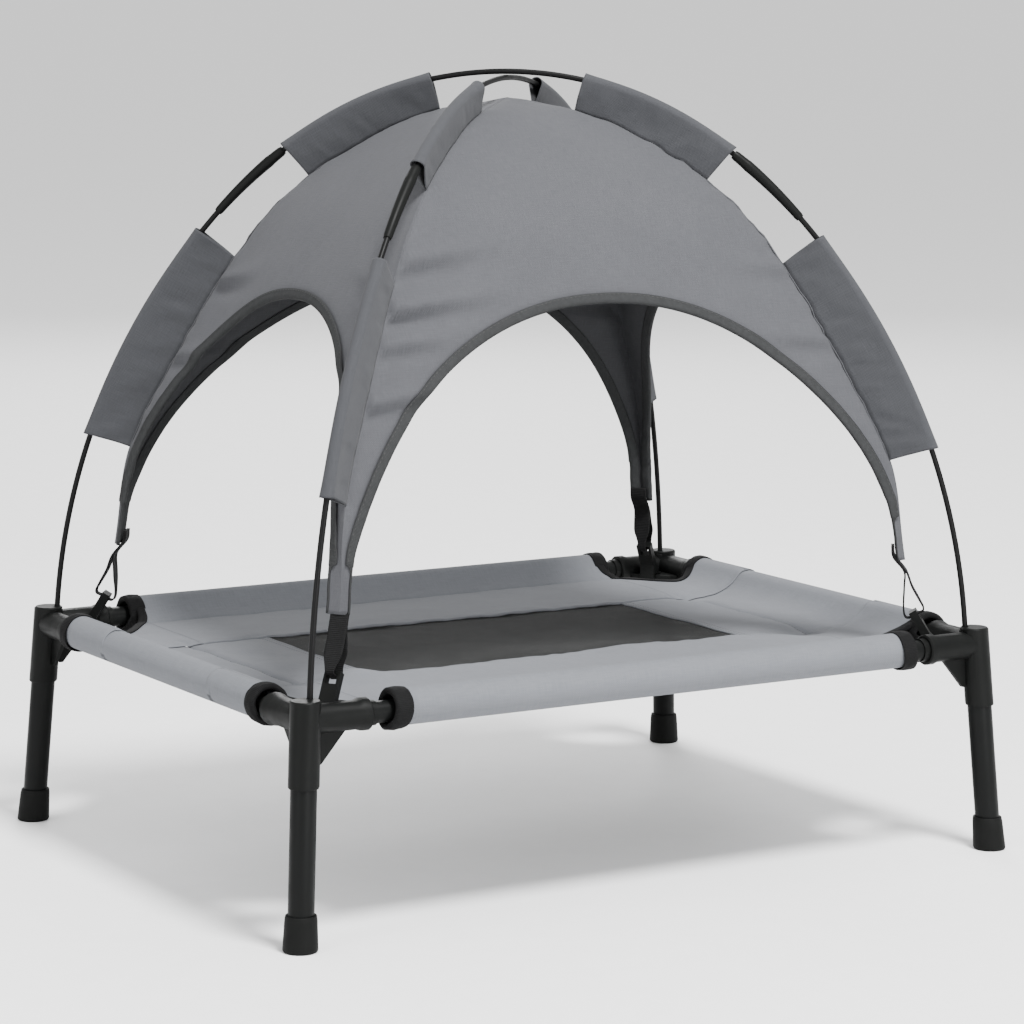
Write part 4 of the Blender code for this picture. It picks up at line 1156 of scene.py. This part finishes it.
def smoothing_group():
    """Geometry nodes that shade a CAD part smooth, with its corners kept sharp."""
    group = bpy.data.node_groups.new("smooth_corners", "GeometryNodeTree")
    for way in ("INPUT", "OUTPUT"):
        group.interface.new_socket("Geometry", in_out=way, socket_type="NodeSocketGeometry")
    start, end, own, faces, edges, angle, compare = [group.nodes.new(kind) for kind in (
        "NodeGroupInput", "NodeGroupOutput", "GeometryNodeRemoveAttribute", "GeometryNodeSetShadeSmooth",
        "GeometryNodeSetShadeSmooth", "GeometryNodeInputMeshEdgeAngle", "FunctionNodeCompare")]
    own.inputs["Name"].default_value = "custom_normal"
    edges.domain = "EDGE"
    compare.data_type, compare.operation = "FLOAT", "LESS_THAN"
    compare.inputs["B"].default_value = SMOOTH_BELOW
    link = group.links.new
    link(start.outputs[0], own.inputs["Geometry"])
    link(own.outputs["Geometry"], faces.inputs["Geometry"])
    link(faces.outputs[0], edges.inputs["Geometry"])
    link(angle.outputs["Unsigned Angle"], compare.inputs["A"])
    link(compare.outputs["Result"], edges.inputs["Shade Smooth"])
    link(edges.outputs[0], end.inputs[0])
    return group


def dress(node, material, bevel):
    """A CAD part that stays: a finish, eased edges and smooth rounds."""
    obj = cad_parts[node]
    obj.data.materials.clear()
    obj.data.materials.append(material)
    obj.modifiers.new("closed", "WELD").merge_threshold = CLOSE_ENOUGH
    edge = obj.modifiers.new("edges", "BEVEL")
    edge.width, edge.segments, edge.limit_method, edge.angle_limit = bevel, 3, "ANGLE", BEVEL_FROM
    edge.use_clamp_overlap = True
    obj.modifiers.new("smooth", "NODES").node_group = SMOOTHING
    obj.modifiers.new("even", "WEIGHTED_NORMAL").keep_sharp = True


# ---- the scene
FLOOR_FLAT, FLOOR_END, FLOOR_RISE = 8.0, 40.0, 1.6
FLOOR_SIDES, FLOOR_RINGS = 96, 12


def build_floor():
    """A wide disc whose rim rises, so that no horizon shows."""
    span = FLOOR_END - FLOOR_FLAT
    radii = [FLOOR_FLAT + span * k / FLOOR_RINGS for k in range(FLOOR_RINGS + 1)]
    turns = [2 * pi * k / FLOOR_SIDES for k in range(FLOOR_SIDES)]
    points = [(cos(t) * r, sin(t) * r, FLOOR_RISE * ((r - FLOOR_FLAT) / span) ** 2)
              for r in radii for t in turns]
    faces = [tuple(range(FLOOR_SIDES))]
    for j in range(FLOOR_RINGS):
        for k in range(FLOOR_SIDES):
            near, far, after = j * FLOOR_SIDES, (j + 1) * FLOOR_SIDES, (k + 1) % FLOOR_SIDES
            faces.append((far + k, far + after, near + after, near + k))
    mesh = bpy.data.meshes.new("floor")
    mesh.from_pydata(points, [], faces)
    mesh.polygons.foreach_set("use_smooth", [True] * len(mesh.polygons))
    mesh.materials.append(grained("floor_paper", (0.86, 0.86, 0.86), 0.7, 300.0, 0.0, 0.01))
    placed("floor", mesh)


def build_world():
    world = bpy.data.worlds.new("world")
    bpy.context.scene.world = world
    world.use_nodes = True
    background = world.node_tree.nodes["Background"]
    background.inputs["Color"].default_value = (1.0, 1.0, 1.0, 1.0)
    background.inputs["Strength"].default_value = 1.2


SMOOTHING = smoothing_group()
add_camera()
build_floor()
build_world()
add_light("key", (0.1, -1.6, 3.3), 0.9, 300.0)
add_light("front", (0.3, -3.5, 0.9), 1.4, 80.0)
add_light("fill", (-3.2, -1.0, 1.2), 1.6, 50.0)
add_light("back", (1.6, 3.2, 2.0), 1.6, 60.0)

canopy, canopy_shell = build_canopy()
tapes = [build_door_tape(side) for side in SIDES]
sleeves = []
for corner in CORNERS:
    sleeves.append(build_sleeve(corner, "lower", LOWER_SLEEVE, 110))
    sleeves.append(build_sleeve(corner, "upper", UPPER_SLEEVE, 90))
slings = {"front": sling_strip(-1, "front"), "back": sling_strip(1, "back"),
          "left": sling_end(-1, "left"), "right": sling_end(1, "right")}
net = build_net()
for corner in CORNERS:
    build_binding(corner)
build_sling_stitches()
for corner in CORNERS:
    build_leg(corner)
    build_webbing(corner)
for side in slings:
    build_tube(side)
build_rods()
for corner in CORNERS:
    dress("connector_" + corner, PLASTIC, 0.0003)
    dress("hook_" + corner, PLASTIC, 0.0010)

canopy_shell.cut_area()
for sleeve, shell in sleeves:
    wide, long = max(p[1] for p in shell.cloth), max(p[0] for p in shell.cloth)
for tube, (sling, shell) in slings.items():
    wide, depth = shell.spans[0]
    if tube in ("front", "back"):
        wide += 2 * (CORNER.x - STRIP_HALF + shell.spans[2][1])
